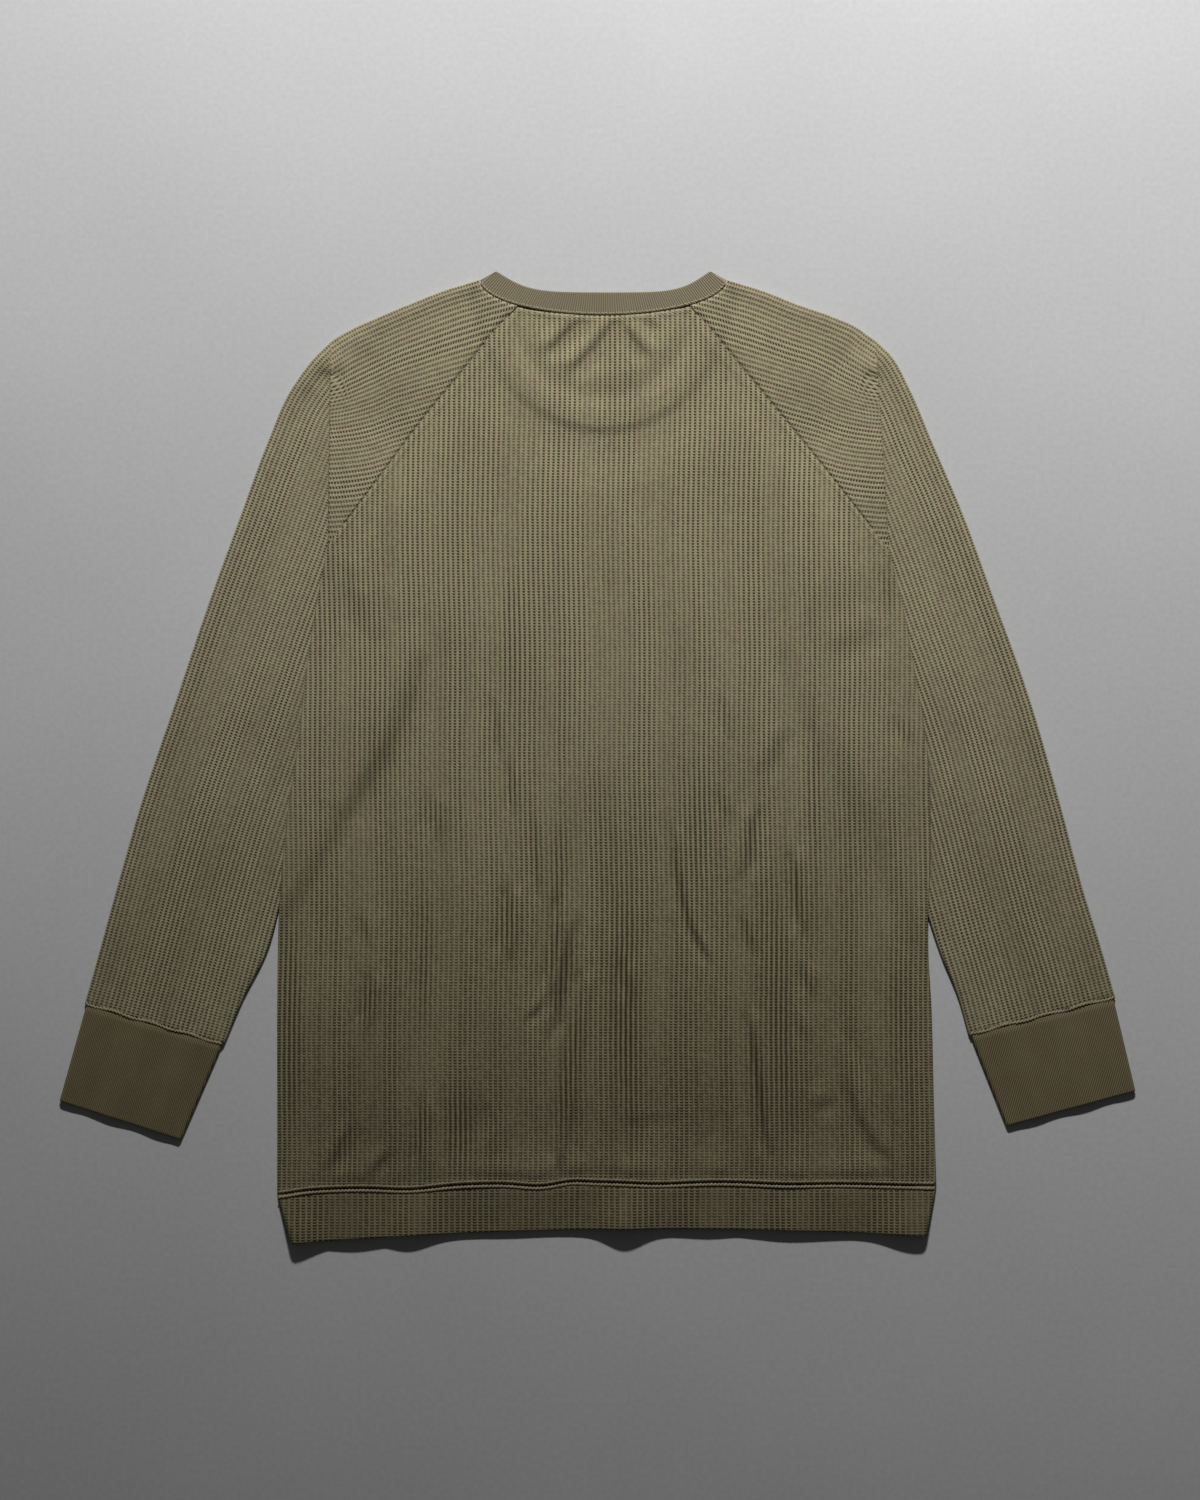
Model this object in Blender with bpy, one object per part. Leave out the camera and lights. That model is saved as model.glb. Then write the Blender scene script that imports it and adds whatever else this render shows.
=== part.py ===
"""Long-sleeved raglan thermal top in waffle knit, laid flat with its back up.

Units are metres, +Z is up and the neck points to +Y. The top lies on the plane
Z = 0. Left and right are as seen from above. Each cut piece is one closed
solid: two body panels, two sleeves, two cuffs, the neck band and the hem band.

The arms are turned down beside the body, so each sleeve is folded twice at the
shoulder: it comes from the raglan seam to a first fold, goes back under itself
to a second fold, and leaves from there as the arm, which passes under the side
of the body. A piece is a wall between an outer and an inner grid of points.
"""

import math

import bmesh
import bpy
from mathutils import Vector

# Cloth thicknesses
KNIT = 0.0013  # waffle knit, one ply
RIB = 0.0020  # fine rib of the cuffs and neck band, doubled
HEM_PLY = 0.0024  # waffle knit turned up at the hem, two plies

# Room between pieces
SEAM = 0.0003  # between pieces that a seam joins, and between plies
NECK_SEAM = 0.0005  # the same round the curved neck seam
AIR = 0.0010  # between the two walls of an arm pressed flat
LOFT = 0.0021  # most that the back panel stands off the front panel

# Heights of what lies under the body and the shoulders
ARM_HEIGHT = 2 * KNIT + AIR
PLEAT_HEIGHT = 2 * KNIT + 2 * SEAM  # the two plies that go back under the shoulder
SHOULDER_HEIGHT = 2 * KNIT + SEAM
CUFF_HEIGHT = 2 * RIB + 0.0006
HEM_HEIGHT = 2 * HEM_PLY + 0.0006
HEM_WAVE = 0.0026  # how much higher the lower edge stands on its waves
LEVEL_MARGIN = 0.010  # a panel stays level this far past an arm's edge
ARM_RAMP = 0.018  # and then comes down to the table over this distance
PLEAT_RAMP = 0.036  # the same past the pleat's edges
SHOULDER_RISE = 0.022  # the shoulder climbs onto the pleat over this distance

# Neck, as half ellipses that share their ends: the back one is shallow
NECK_SEAM_CENTRE = (0.0045, 0.382)
NECK_SEAM_RADIUS = 0.0990
NECK_SEAM_BACK_DROP = 0.0285
NECK_SEAM_FRONT_DROP = 0.1150
NECK_EDGE_CENTRE = (0.0045, 0.389)
NECK_EDGE_RADIUS = 0.0860
NECK_EDGE_BACK_DROP = 0.0168
NECK_EDGE_FRONT_DROP = 0.1020
NECK_EDGE_POWER = 1.7  # how sharply the back's free edge turns up to its peaks
NECK_SINK = 0.0012  # the back lies this much lower inside the front neckline
NECK_RIDGE = RIB - KNIT + 0.0002  # and this much higher over the front neck band
NECK_BAND_SHARE = 0.18  # the front neck band's share of the neckline's radius

CUFF_GATHER = 0.0015  # how far the cuff's seam edge stays inside the sleeve's, at each side

# Mesh density
SIDE_SHARE = 0.34  # share of a panel's width, at each side, with narrow columns
SIDE_COLUMNS = 14
BACK_MIDDLE_COLUMNS = 16
FRONT_MIDDLE_COLUMNS = 6
BODY_ROW_SPACING = 0.022
RAGLAN_ROW_SPACING = 0.020
NECKLINE_ROWS = 6
ARM_TOP_COLUMNS = 8
ARM_BOTTOM_COLUMNS = 3
SHOULDER_COLUMNS = 6
HEM_TOP_COLUMNS = 30
HEM_BOTTOM_COLUMNS = 6
NECK_STEPS = 18

# Shoulder sections, from the neck to the first fold. Each runs from the
# shoulder line, where the sleeve is folded, to the raglan seam. The second one
# reaches the raglan seam where the front neck seam crosses it.
# columns: shoulder line x, y, raglan seam x, y
SHOULDER_SECTIONS = {
    "left": (
        (-0.095, 0.382, -0.064, 0.3614),
        (-0.122, 0.374, -0.0865, 0.3367),
        (-0.150, 0.363, -0.108, 0.309),
        (-0.176, 0.352, -0.138, 0.273),
        (-0.196, 0.343, -0.170, 0.230),
        (-0.207, 0.337, -0.198, 0.192),
        (-0.213, 0.333, -0.215, 0.170),
    ),
    "right": (
        (0.104, 0.382, 0.074, 0.3617),
        (0.131, 0.374, 0.0955, 0.3367),
        (0.159, 0.363, 0.117, 0.310),
        (0.185, 0.354, 0.147, 0.274),
        (0.206, 0.345, 0.180, 0.233),
        (0.216, 0.338, 0.212, 0.192),
        (0.222, 0.334, 0.233, 0.165),
    ),
}

# Arm sections, from the second fold to the cuff seam. Each runs from the outer
# edge of the arm to its inner edge, which is under the body at first.
# columns: outer edge x, y, inner edge x, y
ARM_SECTIONS = {
    "left": (
        (-0.213, 0.332, -0.128, 0.138),
        (-0.228, 0.318, -0.136, 0.126),
        (-0.244, 0.296, -0.142, 0.117),
        (-0.263, 0.254, -0.155, 0.086),
        (-0.286, 0.192, -0.172, 0.048),
        (-0.310, 0.126, -0.193, 0.008),
        (-0.337, 0.046, -0.220, -0.043),
        (-0.364, -0.034, -0.248, -0.098),
        (-0.384, -0.103, -0.264, -0.154),
        (-0.399, -0.158, -0.284, -0.194),
        (-0.410, -0.197, -0.299, -0.230),
    ),
    "right": (
        (0.222, 0.333, 0.158, 0.134),
        (0.236, 0.320, 0.164, 0.122),
        (0.249, 0.296, 0.170, 0.109),
        (0.267, 0.254, 0.183, 0.077),
        (0.291, 0.198, 0.197, 0.038),
        (0.316, 0.130, 0.215, -0.005),
        (0.344, 0.052, 0.236, -0.054),
        (0.368, -0.030, 0.258, -0.108),
        (0.389, -0.108, 0.275, -0.158),
        (0.402, -0.150, 0.288, -0.190),
        (0.414, -0.192, 0.297, -0.222),
    ),
}

# Where the two folds of each sleeve begin, and the hand edge of each cuff
# columns: fold start x, y, cuff outer x, y, cuff inner x, y
SLEEVE_ENDS = {
    "left": (-0.213, 0.314, -0.430, -0.274, -0.333, -0.305),
    "right": (0.221, 0.311, 0.430, -0.266, 0.327, -0.294),
}

# Body sections, from the hem seam to the underarm
# columns: left edge x, y, right edge x, y
BODY_SECTIONS = (
    (-0.256, -0.346, 0.271, -0.342),
    (-0.256, -0.274, 0.269, -0.274),
    (-0.256, -0.194, 0.267, -0.198),
    (-0.255, -0.138, 0.264, -0.145),
    (-0.250, -0.065, 0.266, -0.071),
    (-0.240, 0.006, 0.264, 0.002),
    (-0.232, 0.074, 0.252, 0.078),
    (-0.224, 0.126, 0.243, 0.126),
    (-0.215, 0.170, 0.233, 0.165),
)
HEM_SEAM_BOW = 0.0055  # the hem seam's middle is this much higher than its ends
HEM_EDGE = (-0.245, -0.388, 0.263, -0.382)  # left x, y, right x, y
HEM_EDGE_BOW = 0.0085

# Largest folds of the back, as grooves through three points
# columns: start x, y, middle x, y, end x, y, depth, half width
FOLDS = (
    (-0.074, 0.063, -0.067, -0.022, -0.069, -0.059, 0.0010, 0.016),
    (-0.028, -0.102, -0.031, -0.145, -0.056, -0.206, 0.0020, 0.013),
    (-0.019, -0.182, -0.020, -0.236, -0.039, -0.334, 0.0016, 0.014),
    (0.060, -0.046, 0.067, -0.102, 0.092, -0.182, 0.0016, 0.015),
    (0.147, 0.021, 0.140, 0.006, 0.134, -0.010, 0.0012, 0.014),
    (0.152, -0.071, 0.162, -0.132, 0.171, -0.194, 0.0016, 0.015),
    (0.125, -0.206, 0.130, -0.246, 0.134, -0.286, 0.0012, 0.014),
    (0.204, -0.279, 0.214, -0.299, 0.223, -0.319, 0.0018, 0.013),
    (-0.193, -0.126, -0.178, -0.182, -0.190, -0.224, 0.0014, 0.015),
    (-0.129, -0.022, -0.129, -0.041, -0.129, -0.059, 0.0010, 0.014),
    (-0.071, -0.114, -0.076, -0.138, -0.080, -0.163, 0.0012, 0.013),
    (0.021, -0.145, 0.021, -0.175, 0.021, -0.206, 0.0010, 0.014),
)

# Waves of the lower hem edge: columns: x, half width, share of HEM_WAVE
HEM_WAVES = (
    (-0.240, 0.030, 1.0),
    (-0.118, 0.045, 0.6),
    (0.022, 0.040, 1.0),
    (0.154, 0.045, 0.6),
    (0.250, 0.030, 1.0),
)

WAFFLE_COLOUR = (0.205, 0.180, 0.115, 1.0)
RIB_COLOUR = (0.150, 0.125, 0.068, 1.0)


# ---- shared helpers ----


def mix(a, b, share):
    return a + (b - a) * share


def smooth(share):
    """0 below 0, 1 above 1, and an S-curve between."""
    share = min(max(share, 0.0), 1.0)
    return share * share * (3 - 2 * share)


def straight(start, end):
    """A path from start, at 0, to end, at 1."""
    return lambda share: (mix(start[0], end[0], share), mix(start[1], end[1], share))


def path_length(path, steps=8):
    points = [Vector(path(step / steps)) for step in range(steps + 1)]
    return sum((b - a).length for a, b in zip(points, points[1:]))


def between(rows, spacing):
    """The rows of a table with more rows between them, no further apart than spacing."""
    finer = [rows[0]]
    for row, following in zip(rows, rows[1:]):
        distance = max(
            math.dist(row[i : i + 2], following[i : i + 2]) for i in range(0, len(row), 2)
        )
        steps = max(1, round(distance / spacing))
        for step in range(1, steps + 1):
            finer.append(tuple(mix(a, b, step / steps) for a, b in zip(row, following)))
    return finer


def distance_to_line(line, x, y):
    """Shortest distance from a point to a line of straight stretches."""
    nearest = math.inf
    for (ax, ay), (bx, by) in zip(line, line[1:]):
        along_x, along_y = bx - ax, by - ay
        share = ((x - ax) * along_x + (y - ay) * along_y) / (along_x**2 + along_y**2)
        share = min(max(share, 0.0), 1.0)
        nearest = min(nearest, math.hypot(x - ax - along_x * share, y - ay - along_y * share))
    return nearest


def distance_outside(polygon, x, y):
    """0 inside a polygon, and the distance to its edge outside."""
    ring = polygon + polygon[:1]
    crossings = 0
    for (ax, ay), (bx, by) in zip(ring, ring[1:]):
        if (ay > y) != (by > y) and x < ax + (bx - ax) * (y - ay) / (by - ay):
            crossings += 1
    return 0.0 if crossings % 2 else distance_to_line(ring, x, y)


def knit_material(name, colour, roughness):
    material = bpy.data.materials.new(name)
    material.use_nodes = True
    shader = material.node_tree.nodes["Principled BSDF"]
    shader.inputs["Base Color"].default_value = colour
    shader.inputs["Roughness"].default_value = roughness
    shader.inputs["Metallic"].default_value = 0.0
    return material


def new_object(name, mesh, collection):
    piece = bpy.data.objects.new(name, mesh)
    collection.objects.link(piece)
    return piece


def cloth_wall(
    name, outer, inner, collection, closed_rows=False, closed_columns=False, lean_row=math.inf
):
    """A solid between two grids of points, with the cloth's cut edges closed.

    closed_columns joins each row end to end, as on a tube. closed_rows joins the
    last row to the first, as on a band that is a ring. The grid's cells are split
    in two along the slopes that cross them: outwards below lean_row, inwards above.
    """
    shell = bmesh.new()
    skins = [[[shell.verts.new(p) for p in row] for row in grid] for grid in (outer, inner)]
    rows, columns = len(outer), len(outer[0])
    row_steps = range(rows if closed_rows else rows - 1)
    column_steps = range(columns if closed_columns else columns - 1)

    def corner(skin, row, column):
        return skins[skin][row % rows][column % columns]

    for row in row_steps:
        for column in column_steps:
            for skin in (0, 1):
                near, beside = corner(skin, row, column), corner(skin, row, column + 1)
                far, ahead = corner(skin, row + 1, column + 1), corner(skin, row + 1, column)
                if (column < columns // 2) == (row < lean_row):
                    halves = ((near, beside, far), (near, far, ahead))
                else:
                    halves = ((near, beside, ahead), (beside, far, ahead))
                for half in halves:
                    shell.faces.new(half)
    if not closed_rows:
        for row in (0, rows - 1):
            for column in column_steps:
                pair = (column, column + 1)
                edge = [corner(0, row, c) for c in pair] + [corner(1, row, c) for c in pair[::-1]]
                shell.faces.new(edge)
    if not closed_columns:
        for column in (0, columns - 1):
            for row in row_steps:
                pair = (row, row + 1)
                edge = [corner(0, r, column) for r in pair]
                edge += [corner(1, r, column) for r in pair[::-1]]
                shell.faces.new(edge)
    bmesh.ops.recalc_face_normals(shell, faces=shell.faces)
    mesh = bpy.data.meshes.new(name)
    shell.to_mesh(mesh)
    shell.free()
    return new_object(name, mesh, collection)


def folded_section(top_path, bottom_path, floor, height, wall, columns, closed):
    """One section of a tube pressed flat, as outer and inner points.

    Both paths start at the fold. The section runs along the top towards the
    fold, round it and back along the bottom, and a closed one has a second fold
    at the far end. floor and height give the levels at a point of the plan.
    """
    outer, inner = [], []
    lengths = {top_path: path_length(top_path), bottom_path: path_length(bottom_path)}
    roll = height(*top_path(0)) / 2

    def add(path, out, far_end, sine):
        """out is the share of the roll's radius, 1 where the cloth is level."""
        for points, edge, thickness in ((outer, 0.0, 0.0), (inner, wall, wall)):
            distance = mix(edge, roll, out) / lengths[path]
            x, y = path(1 - distance if far_end else distance)
            half = height(x, y) / 2
            level = floor(x, y) + half + (half - thickness) * sine
            points.append(Vector((x, y, level)))

    def add_level(path, share, sine):
        ends = roll / lengths[path]
        x, y = path(mix(ends, 1 - ends if closed else 1, share))
        for points, thickness in ((outer, 0.0), (inner, wall)):
            half = height(x, y) / 2
            points.append(Vector((x, y, floor(x, y) + half + (half - thickness) * sine)))

    top_columns, bottom_columns = columns
    turns = (math.pi / 4, 0.0, -math.pi / 4)
    for column in range(top_columns, -1, -1):
        add_level(top_path, column / top_columns, 1)
    for turn in turns:
        add(top_path, 1 - math.cos(turn), False, math.sin(turn))
    for column in range(bottom_columns + 1):
        add_level(bottom_path, column / bottom_columns, -1)
    if closed:
        for turn in turns[::-1]:
            add(bottom_path, 1 - math.cos(turn), True, math.sin(turn))
    return outer, inner


def flat_tube(name, rows, floor, height, wall, columns, bows, collection):
    """A tube pressed flat, open at both ends, from rows of outer and inner edge."""
    outer, inner = [], []
    for (ax, ay, bx, by), bow in zip(rows, bows):
        line = straight((ax, ay), (bx, by))

        def path(share, line=line, bow=bow):
            x, y = line(share)
            return x, y + bow * 4 * share * (1 - share)

        section = folded_section(path, path, floor, height, wall, columns, closed=True)
        outer.append(section[0])
        inner.append(section[1])
    return cloth_wall(name, outer, inner, collection, closed_columns=True)


# ---- what the body and the shoulders lie on ----


def arm_footprint(side):
    """Plan of the arm, from where its folds begin, for what lies on top of it."""
    rows = ARM_SECTIONS[side]
    fold_start = SLEEVE_ENDS[side][:2]
    return [fold_start] + [row[2:] for row in rows] + [row[:2] for row in rows[:2:-1]]


def pleat_footprint(side):
    """Plan of the two plies that go back from the first fold to the second."""
    return [SLEEVE_ENDS[side][:2], SHOULDER_SECTIONS[side][-1][2:4], ARM_SECTIONS[side][0][2:]]


ARM_PLANS = {side: arm_footprint(side) for side in ARM_SECTIONS}
PLEAT_PLANS = {side: pleat_footprint(side) for side in ARM_SECTIONS}


def lift(x, y):
    """Height of what lies under the body and the shoulders at a point of the plan."""
    side = "left" if x < NECK_SEAM_CENTRE[0] else "right"
    height = 0.0
    for plan, step, ramp in (
        (ARM_PLANS[side], ARM_HEIGHT + SEAM, ARM_RAMP),
        (PLEAT_PLANS[side], PLEAT_HEIGHT, PLEAT_RAMP),
    ):
        past = distance_outside(plan, x, y) - LEVEL_MARGIN
        height += step * (1 - smooth(past / ramp))
    return height


# ---- body panels ----


def neck_point(turn, gap=0.0, edge=False):
    """A point of the neck seam, or of the band's free edge; turn 0 to pi is the back."""
    centre = NECK_EDGE_CENTRE if edge else NECK_SEAM_CENTRE
    radius = NECK_EDGE_RADIUS if edge else NECK_SEAM_RADIUS
    drops = (
        (NECK_EDGE_BACK_DROP, NECK_EDGE_FRONT_DROP)
        if edge
        else (NECK_SEAM_BACK_DROP, NECK_SEAM_FRONT_DROP)
    )
    back = math.sin(turn) > 0
    drop = drops[0] if back else drops[1]
    power = NECK_EDGE_POWER if back and edge else 1.0
    x = centre[0] + (radius - gap) * math.cos(turn)
    return x, centre[1] - (drop - gap) * abs(math.sin(turn)) ** power


def seam_turn(x):
    """The turn at which the back neck seam passes x."""
    return math.acos((x - NECK_SEAM_CENTRE[0]) / NECK_SEAM_RADIUS)


def neck_seam_y(x, back):
    """Where the neck seam passes x."""
    across = (x - NECK_SEAM_CENTRE[0]) / NECK_SEAM_RADIUS
    drop = NECK_SEAM_BACK_DROP if back else NECK_SEAM_FRONT_DROP
    return NECK_SEAM_CENTRE[1] - drop * math.sqrt(1 - across**2)


def inside_neckline(x, y):
    """1 at the centre of the front neckline's opening, 0 on its seam, less outside."""
    across = (x - NECK_SEAM_CENTRE[0]) / NECK_SEAM_RADIUS
    down = (y - NECK_SEAM_CENTRE[1]) / NECK_SEAM_FRONT_DROP
    return 1 - math.hypot(across, down)


def neck_ridge(x, y):
    """How much the front neck band raises what lies on it."""
    inside = inside_neckline(x, y)
    outer_slope = smooth((inside + 0.26) / 0.13)
    inner_slope = 1 - smooth((inside - NECK_BAND_SHARE - 0.03) / 0.16)
    return NECK_RIDGE * outer_slope * inner_slope


def column_shares(middle_columns):
    sides = [SIDE_SHARE * step / SIDE_COLUMNS for step in range(SIDE_COLUMNS)]
    middle = [
        mix(SIDE_SHARE, 1 - SIDE_SHARE, step / middle_columns)
        for step in range(middle_columns + 1)
    ]
    return sides + middle + [1 - share for share in sides[::-1]]


def panel_plan(shares):
    """Plan points of both body panels, from the hem seam to the front neck seam."""
    left, right = SHOULDER_SECTIONS["left"], SHOULDER_SECTIONS["right"]
    raglan = [a[2:] + b[2:] for a, b in zip(left[:0:-1], right[:0:-1])]
    body = between(BODY_SECTIONS, BODY_ROW_SPACING)
    raglan = between(raglan, RAGLAN_ROW_SPACING)[1:]
    plan = []
    for index, (ax, ay, bx, by) in enumerate(body):
        bow = HEM_SEAM_BOW * max(0.0, 1 - index / 3)
        plan.append(
            [
                (mix(ax, bx, share), mix(ay, by, share) + bow * 4 * share * (1 - share))
                for share in shares
            ]
        )
    left_corner, right_corner = left[1][2:], right[1][2:]
    for index, (ax, ay, bx, by) in enumerate(raglan):
        nearness = ((index + 1) / len(raglan)) ** 1.5
        row = []
        for share in shares:
            x, y = mix(ax, bx, share), mix(ay, by, share)
            neckline_y = neck_seam_y(mix(left_corner[0], right_corner[0], share), False)
            row.append((x, y + nearness * (neckline_y - mix(left_corner[1], right_corner[1], share))))
        plan.append(row)
    return plan


def neckline_plan(shares):
    """Plan points of the back panel above the front neck seam."""
    left, right = SHOULDER_SECTIONS["left"], SHOULDER_SECTIONS["right"]
    plan = []
    for step in range(1, NECKLINE_ROWS + 1):
        risen = step / NECKLINE_ROWS
        ax, bx = mix(left[1][2], left[0][2], risen), mix(right[1][2], right[0][2], risen)
        row = []
        for share in shares:
            low_x = mix(left[1][2], right[1][2], share)
            high_x = mix(left[0][2], right[0][2], share)
            y = mix(neck_seam_y(low_x, False), neck_seam_y(high_x, True), risen)
            row.append((mix(ax, bx, share), y))
        plan.append(row)
    return plan


def fold_depth(x, y):
    depth = 0.0
    for ax, ay, mx, my, bx, by, most, half_width in FOLDS:
        distance = distance_to_line([(ax, ay), (mx, my), (bx, by)], x, y)
        depth = max(depth, most * math.exp(-((distance / half_width) ** 2)))
    return depth


def back_stand_off(share, x, y):
    """How far the back panel stands off its lowest place over the front panel."""
    edge = smooth(min(share, 1 - share) / 0.08)
    inside = inside_neckline(x, y)
    below_neck = 1 - smooth((inside + 0.50) / 0.38)
    sink = NECK_SINK * smooth((inside - NECK_BAND_SHARE - 0.04) / 0.30)
    stand_off = max(LOFT * below_neck - fold_depth(x, y), 0.0)
    return edge * (stand_off - sink) + neck_ridge(x, y)


def make_front_panel(collection):
    plan = panel_plan(column_shares(FRONT_MIDDLE_COLUMNS))
    lower = [[Vector((x, y, lift(x, y))) for x, y in row] for row in plan]
    upper = [[point + Vector((0, 0, KNIT)) for point in row] for row in lower]
    underarm = len(between(BODY_SECTIONS, BODY_ROW_SPACING)) - 1
    return cloth_wall("front_panel", upper, lower, collection, lean_row=underarm)


def make_back_panel(collection):
    shares = column_shares(BACK_MIDDLE_COLUMNS)
    lower = []
    for row in panel_plan(shares) + neckline_plan(shares):
        points = []
        for share, (x, y) in zip(shares, row):
            level = lift(x, y) + KNIT + SEAM + back_stand_off(share, x, y)
            points.append(Vector((x, y, level)))
        lower.append(points)
    upper = [[point + Vector((0, 0, KNIT)) for point in row] for row in lower]
    underarm = len(between(BODY_SECTIONS, BODY_ROW_SPACING)) - 1
    return cloth_wall("back_panel", upper, lower, collection, lean_row=underarm)


# ---- sleeves ----


def fold_roll(name, points, collection):
    """The rounded edge of a fold: a rod through (x, y, z, radius) points."""
    curve = bpy.data.curves.new(name, "CURVE")
    curve.dimensions = "3D"
    curve.bevel_depth = 1.0
    curve.bevel_resolution = 1
    curve.use_fill_caps = True
    spline = curve.splines.new("POLY")
    spline.points.add(len(points) - 1)
    for spline_point, (x, y, z, radius) in zip(spline.points, points):
        spline_point.co = (x, y, z, 1)
        spline_point.radius = radius
    rod = new_object(name, curve, collection)
    bpy.context.view_layer.update()
    graph = bpy.context.evaluated_depsgraph_get()
    mesh = bpy.data.meshes.new_from_object(rod.evaluated_get(graph))
    bpy.data.objects.remove(rod)
    welded = bmesh.new()
    welded.from_mesh(mesh)
    bmesh.ops.remove_doubles(welded, verts=welded.verts, dist=0.00001)
    bmesh.ops.recalc_face_normals(welded, faces=welded.faces)
    welded.to_mesh(mesh)
    welded.free()
    return new_object(name, mesh, collection)


def hidden_plies(name, side, collection):
    """The two plies between the folds, as one slab with rounded edges."""
    start, underarm, second_fold = (Vector(point) for point in PLEAT_PLANS[side])
    middle = (start + underarm + second_fold) / 3
    inset = 0.005
    low, high = ARM_HEIGHT - KNIT / 2, ARM_HEIGHT + PLEAT_HEIGHT - SEAM
    slab = bmesh.new()
    corners = []
    for corner in (start, underarm, second_fold):
        x, y = corner + (middle - corner).normalized() * inset
        corners.append(slab.verts.new((x, y, low)))
    base = slab.faces.new(corners)
    grown = bmesh.ops.extrude_face_region(slab, geom=[base])["geom"]
    upper = [item for item in grown if isinstance(item, bmesh.types.BMVert)]
    bmesh.ops.translate(slab, verts=upper, vec=(0, 0, high - low))
    rim = [edge for edge in slab.edges if all(v in upper for v in edge.verts)]
    bmesh.ops.bevel(slab, geom=rim, offset=0.0012, segments=2, profile=0.5, affect="EDGES")
    bmesh.ops.recalc_face_normals(slab, faces=slab.faces)
    mesh = bpy.data.meshes.new(name)
    slab.to_mesh(mesh)
    slab.free()
    return new_object(name, mesh, collection)


def short_of_seam(path):
    """The same path, stopping just short of the seam at its end."""
    reach = 1 - 2 * SEAM / path_length(path)
    return lambda share: path(share * reach)


def shoulder_shell(name, side, collection):
    """The sleeve from the neck to its first fold, open along the raglan seams."""
    sections = SHOULDER_SECTIONS[side]
    front_seam = [row[2:] for row in sections]
    front_seam[0] = front_seam[1]
    front_seam[1] = tuple(mix(a, b, 0.5) for a, b in zip(front_seam[1], front_seam[2]))
    rows = between([a + b for a, b in zip(sections, front_seam)], RAGLAN_ROW_SPACING)
    fold_turn = math.pi if side == "left" else 0.0
    outer, inner = [], []
    for index, (ax, ay, bx, by, fx, fy) in enumerate(rows):
        fold = (ax, ay)
        if index == 0:  # along the neck seam

            def top_path(share, end=seam_turn(bx)):
                return neck_point(mix(fold_turn, end, share))

            def bottom_path(share, end=seam_turn(fx)):
                return neck_point(-mix(fold_turn, end, share))

        else:
            top_path, bottom_path = straight(fold, (bx, by)), straight(fold, (fx, fy))
        top_path, bottom_path = short_of_seam(top_path), short_of_seam(bottom_path)

        def floor(x, y, fold=fold):
            return lift(x, y) * smooth(math.dist((x, y), fold) / SHOULDER_RISE)

        section = folded_section(
            top_path,
            bottom_path,
            floor,
            lambda x, y: SHOULDER_HEIGHT + neck_ridge(x, y),
            KNIT,
            (SHOULDER_COLUMNS, SHOULDER_COLUMNS),
            closed=False,
        )
        outer.append(section[0])
        inner.append(section[1])
    return cloth_wall(name, outer, inner, collection)


def first_fold_roll(name, side, collection):
    """The shoulder's rounded edge above the arm, along the first fold."""
    top_x, top_y, end_x, end_y = SHOULDER_SECTIONS[side][-1][:4]
    length = math.dist((top_x, top_y), (end_x, end_y))
    inward = 1 if side == "left" else -1
    points = []
    for distance in (0.004, 0.010, 0.016, 0.024, 0.060, 0.100, length - 0.013):
        share = distance / length
        x, y = mix(top_x, end_x, share), mix(top_y, end_y, share)
        top = lift(x, y) * smooth(distance / SHOULDER_RISE) + SHOULDER_HEIGHT
        low = min(ARM_HEIGHT, top / 2) - 0.0004
        radius = (top - low) / 2
        points.append((x + inward * radius, y, (top + low) / 2, radius))
    return fold_roll(name, points, collection)


def second_fold_roll(name, side, collection):
    """The arm's rounded, hidden end, along the second fold."""
    start = SLEEVE_ENDS[side][:2]
    end = ARM_SECTIONS[side][0][2:]
    radius = (ARM_HEIGHT + PLEAT_HEIGHT) / 2
    points = []
    for share in (0.06, 0.5, 0.97):
        x, y = mix(start[0], end[0], share), mix(start[1], end[1], share)
        points.append((x, y, radius, radius))
    return fold_roll(name, points, collection)


def make_sleeve(side, collection, tools):
    rows = between(ARM_SECTIONS[side], 0.045)
    arm = flat_tube(
        f"sleeve_{side}",
        rows,
        lambda x, y: 0.0,
        lambda x, y: ARM_HEIGHT,
        KNIT,
        (ARM_TOP_COLUMNS, ARM_BOTTOM_COLUMNS),
        [0.0] * len(rows),
        collection,
    )
    joined = (
        hidden_plies(f"hidden_plies_{side}", side, tools),
        second_fold_roll(f"second_fold_{side}", side, tools),
        shoulder_shell(f"shoulder_{side}", side, tools),
        first_fold_roll(f"first_fold_{side}", side, tools),
    )
    for piece in joined:
        piece.hide_render = True
        piece.display_type = "WIRE"
        union = arm.modifiers.new(piece.name, "BOOLEAN")
        union.operation = "UNION"
        union.object = piece
    return arm


# ---- bands ----


def make_cuff(side, collection):
    """A flattened tube of rib, from just below the sleeve's end to the hand edge."""
    seam = ARM_SECTIONS[side][-1]
    edge = SLEEVE_ENDS[side][2:]
    start = [mix(a, b, 0.004) for a, b in zip(seam, edge)]
    width = math.dist(start[:2], start[2:])
    for axis in (0, 1):
        across = (start[axis + 2] - start[axis]) / width
        start[axis] += CUFF_GATHER * across
        start[axis + 2] -= CUFF_GATHER * across
    start = tuple(start)
    rows = between((start, edge), 0.027)
    return flat_tube(
        f"cuff_{side}",
        rows,
        lambda x, y: 0.0,
        lambda x, y: CUFF_HEIGHT,
        RIB,
        (6, 3),
        [0.0] * len(rows),
        collection,
    )


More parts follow.
